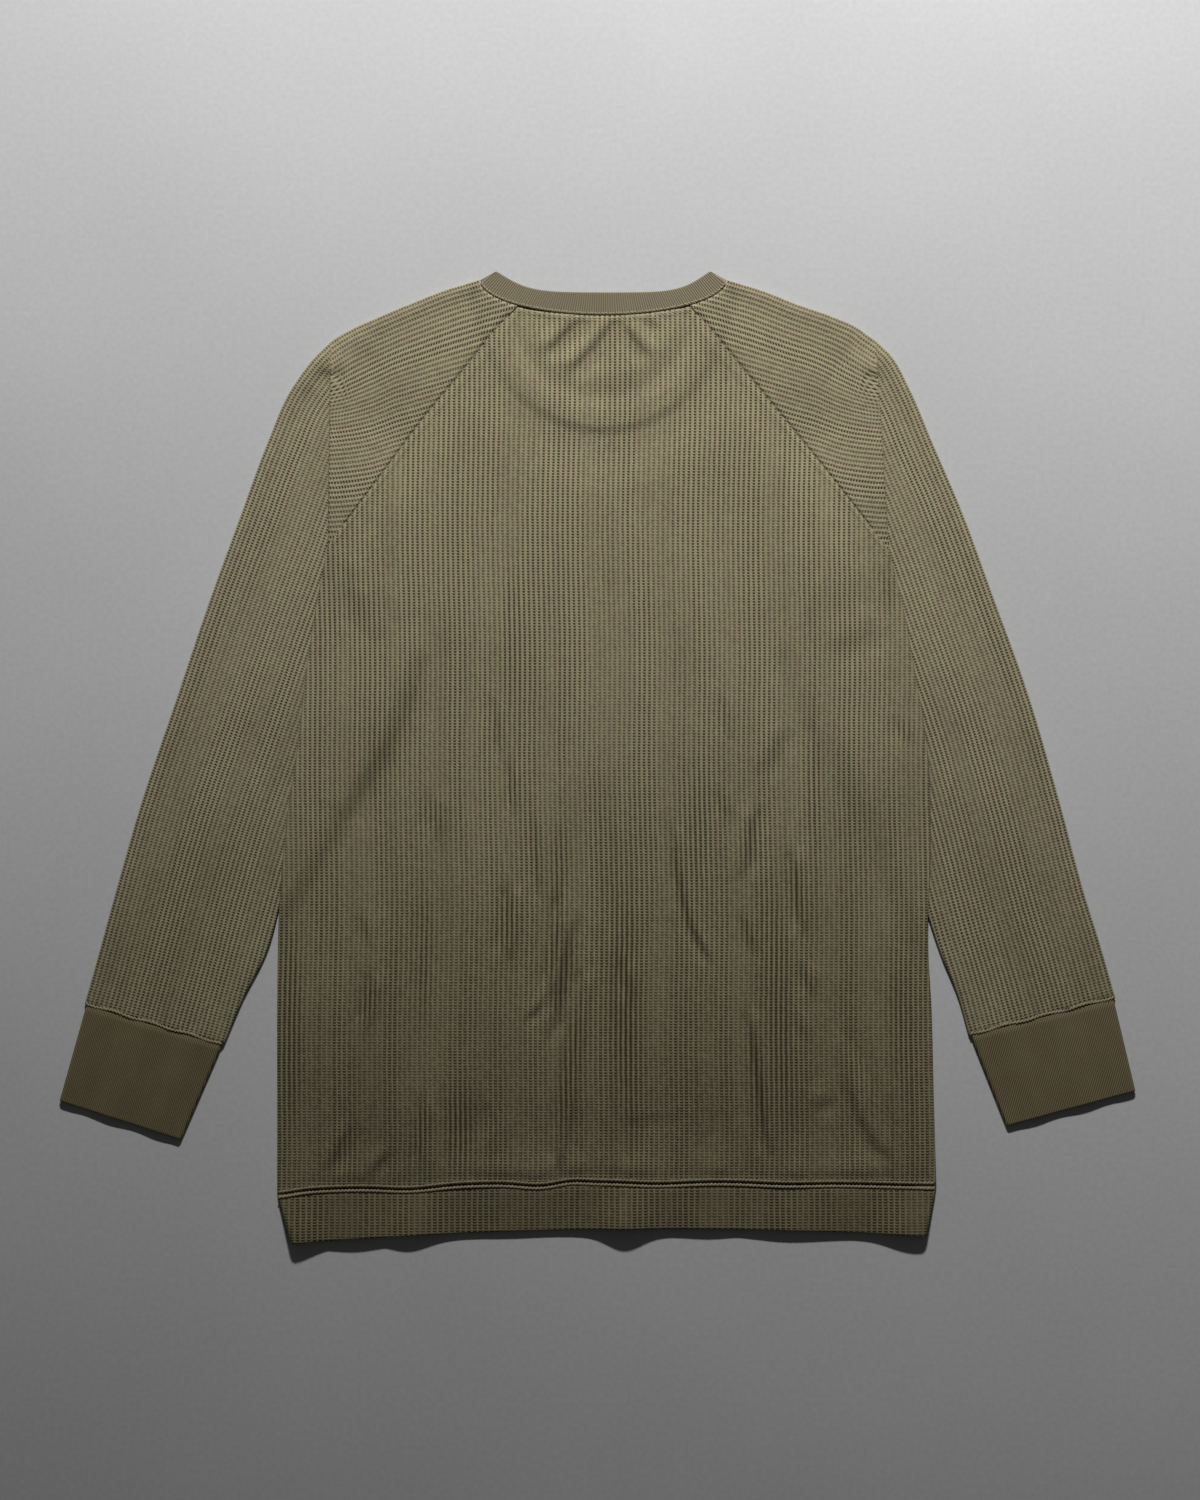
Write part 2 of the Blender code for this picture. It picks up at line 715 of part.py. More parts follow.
def make_hem_band(collection):
    seam = BODY_SECTIONS[0]
    start = (seam[0], seam[1] - 2 * SEAM, seam[2], seam[3] - 2 * SEAM)
    rows = between((start, HEM_EDGE), 0.014)
    bows = [mix(HEM_SEAM_BOW, HEM_EDGE_BOW, i / (len(rows) - 1)) for i in range(len(rows))]
    seam_y = (seam[1] + seam[3]) / 2
    edge_y = (HEM_EDGE[1] + HEM_EDGE[3]) / 2

    def height(x, y):
        down = smooth((y - seam_y) / (edge_y - seam_y))
        wave = max(
            share * math.exp(-(((x - centre) / half) ** 2)) for centre, half, share in HEM_WAVES
        )
        return HEM_HEIGHT + HEM_WAVE * wave * down

    return flat_tube(
        "hem_band",
        rows,
        lambda x, y: 0.0,
        height,
        HEM_PLY,
        (HEM_TOP_COLUMNS, HEM_BOTTOM_COLUMNS),
        bows,
        collection,
    )


def make_neck_band(collection):
    """A ring of rib, folded at both ends of the shoulder line."""
    stand = (RIB + SEAM) / 2  # each half's mid-ply from the middle of the stack
    middle = RIB + SEAM / 2
    reach = stand + RIB / 2
    first = math.radians(6)
    stations = []  # seam point, edge point, direction that the outer face looks in
    for half in (1, -1):
        for step in range(NECK_STEPS + 1):
            turn = mix(first, math.pi - first, step / NECK_STEPS)
            turn = turn if half == 1 else -math.pi + turn
            seam = Vector((*neck_point(turn, NECK_SEAM), 0))
            edge = Vector((*neck_point(turn, 0, True), 0))
            sink = NECK_SINK * math.sin(turn) ** 2 * (1.4 if half == 1 else 0)
            base = Vector((0, 0, middle - sink))
            stations.append((seam + base, edge + base, Vector((0, 0, half))))
        fold = math.pi if half == 1 else 0.0
        seam = Vector((*neck_point(fold, NECK_SEAM), middle))
        edge = Vector((*neck_point(fold, 0, True), middle))
        along = (edge - seam).normalized()
        outward = Vector((-along.y, along.x, 0))
        outward *= -1 if outward.y < 0 else 1
        for turn in (45, 0, -45):
            angle = math.radians(turn * half)
            facing = outward * math.cos(angle) + Vector((0, 0, math.sin(angle)))
            stations.append((seam - outward * reach, edge - outward * reach, facing))
    outer, inner = [], []
    for seam, edge, facing in stations:
        for grid, distance in ((outer, stand + RIB / 2), (inner, stand - RIB / 2)):
            grid.append([seam.lerp(edge, share) + facing * distance for share in (0, 0.5, 1)])
    return cloth_wall("neck_band", outer, inner, collection, closed_rows=True)


# ---- the garment ----


def main():
    for old in list(bpy.data.objects):
        bpy.data.objects.remove(old)
    garment = bpy.data.collections.new("thermal_top")
    tools = bpy.data.collections.new("joined_to_sleeves")
    bpy.context.scene.collection.children.link(garment)
    bpy.context.scene.collection.children.link(tools)

    waffle = [make_front_panel(garment), make_back_panel(garment), make_hem_band(garment)]
    waffle += [make_sleeve(side, garment, tools) for side in ("left", "right")]
    rib = [make_cuff(side, garment) for side in ("left", "right")] + [make_neck_band(garment)]

    finishes = (
        (waffle, knit_material("waffle_knit", WAFFLE_COLOUR, 0.9)),
        (rib, knit_material("fine_rib", RIB_COLOUR, 0.85)),
    )
    for pieces, material in finishes:
        for piece in pieces:
            piece.data.materials.append(material)


main()
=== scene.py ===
"""Long-sleeved raglan thermal top in waffle knit, laid flat with its back up."""

import math

import bmesh
import bpy
import numpy as np
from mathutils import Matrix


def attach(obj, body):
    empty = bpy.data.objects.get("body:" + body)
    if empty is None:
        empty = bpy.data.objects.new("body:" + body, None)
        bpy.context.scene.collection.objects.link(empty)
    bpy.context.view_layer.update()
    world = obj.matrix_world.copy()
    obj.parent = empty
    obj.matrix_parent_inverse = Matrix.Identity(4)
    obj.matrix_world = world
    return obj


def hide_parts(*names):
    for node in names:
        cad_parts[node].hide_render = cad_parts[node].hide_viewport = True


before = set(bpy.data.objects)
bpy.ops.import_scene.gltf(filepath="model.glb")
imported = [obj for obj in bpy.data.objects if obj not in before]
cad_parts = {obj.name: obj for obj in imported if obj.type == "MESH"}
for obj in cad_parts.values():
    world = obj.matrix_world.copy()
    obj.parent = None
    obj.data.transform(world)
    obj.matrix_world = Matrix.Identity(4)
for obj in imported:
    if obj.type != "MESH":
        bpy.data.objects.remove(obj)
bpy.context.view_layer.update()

# ---- Sleeves ----
# Each raglan sleeve is one piece of waffle knit that runs from the neck to the
# cuff, closed by an underarm seam. It is pressed flat and turned down beside
# the body, so at the shoulder it is folded under itself and comes out again.

KNIT = 0.0013
SEAM = 0.0003
ARM_HEIGHT = 0.0036
PLEAT_HEIGHT = 0.0032
SHOULDER_HEIGHT = 0.0029
SEAM_DIP = 0.0011
SLEEVE_WALL = 0.0011
SHOULDER_PUFF = 0.0009
ARM_PUFF = 0.0008
NECK_PUFF = 0.0011
CREST_WIDTH = 0.0075
GATHER_RISE = 0.0008
GATHER_PITCHES = (0.019, 0.031)
CUFF_SEAM_DIP = 0.0008
FOLD_ROLL = 0.0040  # how far the shoulder rolls down towards the fold
FOLD_BEND = 0.0015  # the greatest radius of the fold's rounded edge
FOLD_RISE = 0.0006  # how much the arm swells beside the fold
GRAIN = (0.956, 0.292)  # the way the wales run across the shoulder: outwards, down
SHOULDER = {  # columns: shoulder line x, y, raglan seam x, y
    "left": (
        (-0.095, 0.382, -0.064, 0.3614), (-0.122, 0.374, -0.0865, 0.3367),
        (-0.150, 0.363, -0.108, 0.309), (-0.176, 0.352, -0.138, 0.273),
        (-0.196, 0.343, -0.170, 0.230), (-0.207, 0.337, -0.198, 0.192),
        (-0.213, 0.333, -0.215, 0.170),
    ),
    "right": (
        (0.104, 0.382, 0.074, 0.3617), (0.131, 0.374, 0.0955, 0.3367),
        (0.159, 0.363, 0.117, 0.310), (0.185, 0.354, 0.147, 0.274),
        (0.206, 0.345, 0.180, 0.233), (0.216, 0.338, 0.212, 0.192),
        (0.222, 0.334, 0.233, 0.165),
    ),
}
ARM = {  # columns: outer edge x, y, inner edge x, y, from the hidden fold to the cuff
    "left": (
        (-0.213, 0.333, -0.128, 0.138), (-0.228, 0.318, -0.136, 0.126),
        (-0.244, 0.296, -0.142, 0.117), (-0.263, 0.254, -0.155, 0.086),
        (-0.286, 0.192, -0.172, 0.048), (-0.310, 0.126, -0.193, 0.008),
        (-0.337, 0.046, -0.220, -0.043), (-0.364, -0.034, -0.248, -0.098),
        (-0.384, -0.103, -0.264, -0.154), (-0.399, -0.158, -0.284, -0.194),
        (-0.410, -0.197, -0.299, -0.230),
    ),
    "right": (
        (0.222, 0.334, 0.158, 0.134), (0.236, 0.320, 0.164, 0.122),
        (0.249, 0.296, 0.170, 0.109), (0.267, 0.254, 0.183, 0.077),
        (0.291, 0.198, 0.197, 0.038), (0.316, 0.130, 0.215, -0.005),
        (0.344, 0.052, 0.236, -0.054), (0.368, -0.030, 0.258, -0.108),
        (0.389, -0.108, 0.275, -0.158), (0.402, -0.150, 0.288, -0.190),
        (0.414, -0.192, 0.297, -0.222),
    ),
}
FOLD_START = {"left": (-0.213, 0.314), "right": (0.221, 0.311)}
CREST = {  # the ridge of cloth round the start of the folds: its points, and its height
    "left": ((-0.185, 0.333), (-0.203, 0.326), (-0.219, 0.316), (-0.230, 0.300), 0.0012),
    "right": ((0.190, 0.335), (0.208, 0.328), (0.223, 0.320), 0.0008),
}
POCKET = {  # the hollow below it: x, y, depth, half width
    "left": (-0.2195, 0.3035, 0.0016, 0.0058),
    "right": (0.2225, 0.3055, 0.0010, 0.0030),
}
HIDDEN_EDGE = {  # the arm's edge under the body: down the hidden fold, and on along the arm
    "left": (
        (-0.164, 0.174), (-0.144, 0.118), (-0.139, 0.086), (-0.150, 0.054), (-0.166, 0.010),
        (-0.190, -0.026), (-0.210, -0.060), (-0.228, -0.090), (-0.250, -0.126),
    ),
    "right": (
        (0.178, 0.182), (0.154, 0.126), (0.148, 0.090), (0.162, 0.054), (0.180, 0.018),
        (0.198, -0.018), (0.216, -0.054), (0.236, -0.098), (0.254, -0.138),
    ),
}
HIDDEN_SLOPE = {"left": 0.018, "right": 0.028}  # how wide the step down at that edge is
OUTWARD = {"left": -1, "right": 1}

NECK_CENTRE = (0.0045, 0.382)
NECK_RADIUS = 0.0990
NECK_BACK_DROP = 0.0285
NECK_FRONT_DROP = 0.1150
NECK_RIDGE = 0.0018


def mix(a, b, share):
    return a + (b - a) * share


def smooth(share):
    share = np.clip(share, 0.0, 1.0)
    return share * share * (3 - 2 * share)


def falling(share):
    return 1 - smooth(share)


def hump(distance, half_width):
    return np.exp(-((distance / half_width) ** 2))


def rounded(distance, radius):
    """How far a rounded edge has risen from its widest line."""
    short = radius - np.clip(distance, 0, radius)
    return np.sqrt(np.maximum(radius**2 - short**2, 0))


def lengths(rows):
    return np.linalg.norm(rows, axis=-1)


def run_along(rows):
    """How far along their line the rows of points lie."""
    return np.concatenate(([0], np.cumsum(lengths(np.diff(rows, axis=0)))))


def spline(table, count):
    """Rows evenly spaced along a smooth curve through a table's rows."""
    rows = np.array(table, float)
    knots = run_along(rows)
    slopes = np.gradient(rows, knots, axis=0)
    wanted = np.linspace(0, knots[-1], count)
    low = np.clip(np.searchsorted(knots, wanted, side="right") - 1, 0, len(rows) - 2)
    span = (knots[low + 1] - knots[low])[:, None]
    t = (wanted - knots[low])[:, None] / span
    start = (1 + 2 * t) * (1 - t) ** 2 * rows[low] + t * (1 - t) ** 2 * span * slopes[low]
    return start + t * t * (3 - 2 * t) * rows[low + 1] + t * t * (t - 1) * span * slopes[low + 1]


def along(line, x, y):
    """Each point's distance from a line, its place along it, and its hand: +1 is left, -1 right."""
    distance, place, hand, start = np.full(x.shape, 9.0), np.zeros(x.shape), np.ones(x.shape), 0.0
    for (ax, ay), (bx, by) in zip(line[:-1], line[1:]):
        length = math.hypot(bx - ax, by - ay)
        share = np.clip(((x - ax) * (bx - ax) + (y - ay) * (by - ay)) / length**2, 0, 1)
        away = np.hypot(x - mix(ax, bx, share), y - mix(ay, by, share))
        nearer = away < distance
        place = np.where(nearer, start + share * length, place)
        hand = np.where(nearer, np.sign((bx - ax) * (y - ay) - (by - ay) * (x - ax)), hand)
        distance = np.minimum(distance, away)
        start += length
    return distance, place, hand


def beside(line, x, y, longest_fade=9.0):
    """Distance from a line, its hand, a share that fades at the line's ends, and its length."""
    distance, place, hand = along(line, x, y)
    length = run_along(line)[-1]
    fade = min(longest_fade, 0.4 * length)
    return distance, hand, smooth(place / fade) * smooth((length - place) / fade), length


def crease(line, rise, half_width, x, y):
    """A soft crease: a ridge on the line's left hand beside a trough on its right."""
    distance, hand, ends, _ = beside(line, x, y, 0.014)
    share = hand * distance / half_width
    return 1.65 * rise * share * np.exp(-(share**2)) * ends


def past_edge(plan, x, y):
    """How far outside a closed plan each point is; it is negative inside."""
    inside = np.zeros(x.shape, bool)
    closed = list(plan) + [plan[0]]
    for (ax, ay), (bx, by) in zip(closed[:-1], closed[1:]):
        if ay != by:
            crossing = ax + (bx - ax) * (y - ay) / (by - ay)
            inside ^= ((ay > y) != (by > y)) & (x < crossing)
    return np.where(inside, -1, 1) * along(closed, x, y)[0]


def lift(x, y):
    """Height of the arm and of the sleeve's hidden pleat under the shoulder and the body."""
    height = np.zeros(x.shape)
    for side in ("left", "right"):
        outer = [row[:2] for row in ARM[side][:2:-1]]
        arm_plan = [FOLD_START[side]] + list(HIDDEN_EDGE[side]) + [ARM[side][-1][2:]] + outer
        corner = HIDDEN_EDGE[side][2]
        pleat_plan = [FOLD_START[side], SHOULDER[side][-1][2:], HIDDEN_EDGE[side][1]]
        slope = mix(HIDDEN_SLOPE[side], 0.060, smooth((y - corner[1] - 0.015) / 0.060))
        height += (ARM_HEIGHT + SEAM) * falling(past_edge(arm_plan, x, y) / slope + 0.5)
        thinned = smooth(np.hypot(x - corner[0], y - corner[1]) / 0.080)
        height += PLEAT_HEIGHT * thinned * falling((past_edge(pleat_plan, x, y) + 0.004) / 0.044)
    return height


def neck_ridge(x, y):
    """How much the hidden front half of the neck band raises what lies on it."""
    across = (x - NECK_CENTRE[0]) / NECK_RADIUS
    inside = 1 - np.hypot(across, (y - NECK_CENTRE[1]) / NECK_FRONT_DROP)
    return NECK_RIDGE * smooth((inside + 0.09) / 0.09) * falling((inside - 0.06) / 0.15)


def drape(x, y):
    """The slight unevenness of cloth that has been laid by hand."""
    waves = np.sin(31 * x + 17 * y + 0.6) + np.sin(53 * x - 23 * y + 2.1)
    return 0.00016 * (waves + np.sin(19 * x + 61 * y + 4.0) + np.sin(97 * x + 11 * y))


def spread(width, start, count, end=(4.5, 3.0, 2.0, 1.4, 0.8, 0.3, 0.0)):
    """Distances across a width: the given ones first, and closer ones at its far edge, in mm."""
    end = np.array(end) / 1000
    width = np.asarray(width)[:, None]
    shares = np.linspace(0, 1, count + 2)[1:-1]
    middle = mix(start[-1], width - end[0], shares)
    return np.hstack((start + 0 * width, middle, width - end))


def ruled(rows, start, count):
    """The plan of a band, from rows of a point on each edge, with distances across it."""
    outer, inner = rows[:, :2], rows[:, 2:]
    width = lengths(inner - outer)
    across = spread(width, start, count)
    share = (across / width[:, None])[:, :, None]
    return mix(outer[:, None], inner[:, None], share), across, width


def from_edge(across, width):
    """Distance from the nearer edge."""
    return np.minimum(across, width[:, None] - across)


def joined(*columns):
    return np.stack(np.broadcast_arrays(*columns), axis=-1)


def loop(top, bottom):
    """One row round a piece: back along its top to the outer edge, and out along its bottom."""
    return np.concatenate((top[:, ::-1], bottom[:, 1:]), axis=1)


def placed(name, data):
    """A new object in the scene."""
    thing = bpy.data.objects.new(name, data)
    bpy.context.scene.collection.objects.link(thing)
    return thing


def rework(mesh, work):
    """Does some work on a mesh and shades it smooth."""
    shell = bmesh.new()
    shell.from_mesh(mesh)
    work(shell)
    for face in shell.faces:
        face.smooth = True
    shell.to_mesh(mesh)
    shell.free()


def sew(shell):
    bmesh.ops.remove_doubles(shell, verts=shell.verts, dist=0.00001)
    bmesh.ops.dissolve_degenerate(shell, edges=shell.edges, dist=0.000005)


def face_out(shell):
    bmesh.ops.recalc_face_normals(shell, faces=shell.faces)


def cloth(name, grids, wall, turned=False, closed=None):
    """Sews grids of (points, places in the knit) into one skin and gives it its wall."""
    points, places, faces, first = [], [], [], 0
    for grid, knit in grids:
        rows, columns = grid.shape[:2]
        number = first + np.arange(rows * columns).reshape(rows, columns)
        corners = (number[:-1, :-1], number[:-1, 1:], number[1:, 1:], number[1:, :-1])
        faces.append(np.stack(corners[::-1] if turned else corners, axis=-1).reshape(-1, 4))
        points.append(grid.reshape(-1, 3))
        places.append(knit.reshape(-1, 2))
        first += rows * columns
    faces = np.concatenate(faces)
    mesh = bpy.data.meshes.new(name)
    mesh.from_pydata(np.concatenate(points).tolist(), [], faces.tolist())
    knit_map = mesh.uv_layers.new(name="knit")
    knit_map.data.foreach_set("uv", np.concatenate(places)[faces.ravel()].ravel())
    # closed holds each point's share of painted shade in the knit's closed channels.
    if closed is not None:
        mesh.attributes.new("closed", "FLOAT", "POINT").data.foreach_set("value", closed.ravel())
    rework(mesh, sew)
    piece = placed(name, mesh)
    if wall:
        bpy.ops.object.select_all(action="DESELECT")
        bpy.context.view_layer.objects.active = piece
        piece.select_set(True)
        thick = piece.modifiers.new("wall", "SOLIDIFY")
        thick.thickness = wall
        thick.offset = -1
        bpy.ops.object.modifier_apply(modifier=thick.name)
        piece.select_set(False)
    return piece


def dress(piece, finish, solid):
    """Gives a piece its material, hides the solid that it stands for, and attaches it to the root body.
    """
    piece.data.materials.append(finish)
    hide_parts(solid)
    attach(piece, "root")


class Signal:
    """A node's output; arithmetic on it adds Math nodes to its tree."""

    def __init__(self, socket):
        self.socket = socket
        self.tree = socket.id_data

    def calculate(self, operation, *values):
        inputs = dict(enumerate((self, *values)))
        return signal(self.tree, "ShaderNodeMath", inputs, operation=operation)

    def __add__(self, other):
        return self.calculate("ADD", other)

    def __sub__(self, other):
        return self.calculate("SUBTRACT", other)

    def __mul__(self, other):
        return self.calculate("MULTIPLY", other)

    def __truediv__(self, other):
        return self.calculate("DIVIDE", other)

    def step(self, low, high, bottom=0.0, top=1.0):
        """A smooth step from bottom at low to top at high."""
        inputs = {"Value": self, "From Min": low, "From Max": high, "To Min": bottom, "To Max": top}
        return signal(
            self.tree, "ShaderNodeMapRange", inputs, "Result", interpolation_type="SMOOTHSTEP"
        )


def fill(node, inputs):
    """Sets a node's inputs to values, or links signals to them."""
    for key, value in inputs.items():
        if isinstance(value, Signal):
            node.id_data.links.new(value.socket, node.inputs[key])
        else:
            node.inputs[key].default_value = value


def new_node(tree, kind, inputs, **settings):
    node = tree.nodes.new(kind)
    for name, value in settings.items():
        setattr(node, name, value)
    fill(node, inputs)
    return node


def signal(tree, kind, inputs, output=0, **settings):
    """One output of a new node."""
    return Signal(new_node(tree, kind, inputs, **settings).outputs[output])


def split(place):
    """A place's x and y."""
    outputs = new_node(place.tree, "ShaderNodeSeparateXYZ", {0: place}).outputs
    return Signal(outputs[0]), Signal(outputs[1])


def speckle(place, stretch, scale, detail=2.0):
    """Noise about 0.5, with its scale per metre, drawn out by stretch."""
    drawn = signal(place.tree, "ShaderNodeMapping", {"Scale": stretch, "Vector": place})
    return signal(
        place.tree, "ShaderNodeTexNoise", {"Vector": drawn, "Scale": scale, "Detail": detail}
    )


SOCKET_KINDS = {"Place": "Vector", "Pale": "Color", "Deep": "Color", "Colour": "Color"}


def new_group(name, inputs, outputs):
    """A node group, its inputs, and the node that takes its results."""
    group = bpy.data.node_groups.new(name, "ShaderNodeTree")
    for in_out, names in (("INPUT", inputs), ("OUTPUT", outputs)):
        for socket in names:
            kind = "NodeSocket" + SOCKET_KINDS.get(socket, "Float")
            group.interface.new_socket(socket, in_out=in_out, socket_type=kind)
    given = group.nodes.new("NodeGroupInput")
    return group, [Signal(given.outputs[key]) for key in inputs], group.nodes.new("NodeGroupOutput")


def waffle_group():
    """Waffle knit: ropes of stitches along the wales, with a pit in each course between them."""
    group, (place, wale, course), result = new_group(
        "waffle", ("Place", "Wale", "Course"), ("Height", "Relief shade", "Streak", "Stitch", "Channel shade")
    )
    x, y = split(place)
    sway = speckle(place, (1, 1, 1), 45.0, 1.0) - 0.5
    across = (sway * 0.0007 + x) / wale
    up = y / course
    from_pit = (across.calculate("FRACT") - 0.5).calculate("ABSOLUTE")
    from_bar = (up.calculate("FRACT") - 0.5).calculate("ABSOLUTE")
    rope_side = (across + 0.5).calculate("FRACT") - 0.5
    narrowing = y.step(-0.30, 0.15, 1.0, 1.45)
    channel = (from_pit * narrowing).step(0.22, 0.44, 1.0, 0.0)
    pit = channel * from_bar.step(0.16, 0.40, 1.0, 0.0)
    slant = rope_side * 0.9 + up
    rope = from_pit.step(0.16, 0.40)
    wound = (slant * (2 * math.pi)).calculate("SINE") * rope
    cell = {0: (across * 2).calculate("FLOOR"), 1: slant.calculate("FLOOR")}
    cell = signal(group, "ShaderNodeCombineXYZ", cell)
    white = "ShaderNodeTexWhiteNoise"
    own = signal(group, white, {"W": across.calculate("FLOOR")}, "Value", noise_dimensions="1D")
    run = speckle(place, (0.35, 0.06, 1), 60.0)
    # Relief shade and Channel shade are painted shade: darker pits and channels, and light and shade
    # along the twisted ropes.
    fill(result, {
        "Height": pit * -0.45 + (rope * 0.22 + (wound * 0.12 + 0.5)),
        "Relief shade": wound * -0.24 + (channel * 0.10 + pit),
        "Streak": (own * 0.35 + run).step(0.62, 0.92),
        "Stitch": signal(group, white, {"Vector": cell}, "Value", noise_dimensions="2D"),
        "Channel shade": from_pit.step(0.08, 0.26, 1.0, 0.0),
    })
    return group


def cotton_group():
    """Pigment-dyed cotton: a deeper colour where the knit is low, which is painted shade, paler on its
    high yarn, and mottled at random.
    """
    group, (place, low, pale, deep), result = new_group(
        "dyed cotton, painted shade", ("Place", "Shade and mottling", "Pale", "Deep"), ("Colour", "Roughness", "Fuzz")
    )
    fibre = speckle(place, (1, 1, 1), 1500.0, 3.0)
    cloud = speckle(place, (1, 0.7, 1), 14.0, 3.0)
    low = (cloud - 0.5) * 0.30 + ((fibre - 0.5) * 0.55 + low)
    hue = speckle(place, (1, 0.5, 1), 110.0, 3.0).step(0.3, 0.7, 0.484, 0.512)
    heather = signal(group, "ShaderNodeHueSaturation", {"Hue": hue, "Color": pale})
    blend = {0: low, 6: heather, 7: deep}
    fill(result, {
        "Colour": signal(group, "ShaderNodeMix", blend, 2, data_type="RGBA", clamp_factor=True),
        "Roughness": low.step(0.0, 1.0, 0.86, 0.97),
        "Fuzz": fibre,
    })
    return group


WAFFLE = waffle_group()
COTTON = cotton_group()
WAFFLE_RELIEF = 0.0006
MEAN_PIT = 0.28


def knit_place(tree):
    return signal(tree, "ShaderNodeUVMap", {}, uv_map="knit")


def cotton_finish(name, pale, deep, relief, surface):
    """A cotton material. surface(tree) gives its place, how far painted shade and mottling deepen each
    point's colour, and its height.
    """
    material = bpy.data.materials.new(name)
    material.use_nodes = True
    tree = material.node_tree
    place, low, height = surface(tree)
    inputs = {"Place": place, "Shade and mottling": low, "Pale": (*pale, 1), "Deep": (*deep, 1)}
    cotton = new_node(tree, "ShaderNodeGroup", inputs, node_tree=COTTON).outputs
    bump = {"Strength": 1.0, "Distance": relief, "Height": Signal(cotton["Fuzz"]) * 0.10 + height}
    fill(tree.nodes["Principled BSDF"], {
        "Base Color": Signal(cotton["Colour"]),
        "Roughness": Signal(cotton["Roughness"]),
        "Normal": signal(tree, "ShaderNodeBump", bump),
        "Sheen Weight": 0.05,
        "Sheen Roughness": 0.6,
        "Specular IOR Level": 0.15,
    })
    return material


def waffle_finish(name, pale, deep, wale, course, pits, fade=None, contrast=None):
    """fade and contrast are steps up the knit: of painted shade, which darkens the knit towards its
    lower end, farther from the light, and of how dark the painted shade in its pits is.
    """
    def surface(tree):
        place = knit_place(tree)
        y = split(place)[1]
        inputs = {"Place": place, "Wale": wale, "Course": course}
        waffle = new_node(tree, "ShaderNodeGroup", inputs, node_tree=WAFFLE).outputs
        bands = speckle(place, (1, 0.07, 1), 42.0, 1.0).step(0.38, 0.62, pits * 0.65, pits * 1.25)
        if contrast:
            bands = y.step(*contrast) * bands
        closed = signal(tree, "ShaderNodeAttribute", {}, "Fac", attribute_name="closed")
        # Painted shade of the knit's relief, stronger in random bands along the wales.
        hollow = (Signal(waffle["Relief shade"]) - MEAN_PIT) * bands + (0.10 + MEAN_PIT * pits)
        hollow = Signal(waffle["Streak"]) * 0.06 + hollow
        hollow = Signal(waffle["Stitch"]) * 0.17 + hollow
        # Painted shade in the channels that close up along the back's creases.
        hollow = Signal(waffle["Channel shade"]) * closed * 0.52 + hollow
        # Painted shade: darker towards the lower end of the piece, farther from the light.
        if fade:
            hollow = y.step(*fade) + hollow
        return place, hollow, Signal(waffle["Height"])

    return cotton_finish(name, pale, deep, WAFFLE_RELIEF, surface)


# The colour of the knit's deepest painted shade, and of its darker mottling.
waffle_deep_tone_and_shade = (0.050, 0.042, 0.019)
COURSE = 0.0023
sleeve_knit = waffle_finish(
    "waffle knit, sleeves", (0.392, 0.343, 0.214), waffle_deep_tone_and_shade, wale=0.00375, course=COURSE,
    pits=0.66, fade=(0.25, 0.72, 0.0, 0.13),
)


def neck_curve(x0, x1, share, drop):
    """Points of the neck seam between two places on it."""
    turns = [math.acos(np.clip((x - NECK_CENTRE[0]) / NECK_RADIUS, -1, 1)) for x in (x0, x1)]
    turn = mix(*turns, share)
    return joined(NECK_CENTRE[0] + NECK_RADIUS * np.cos(turn), NECK_CENTRE[1] - drop * np.sin(turn))


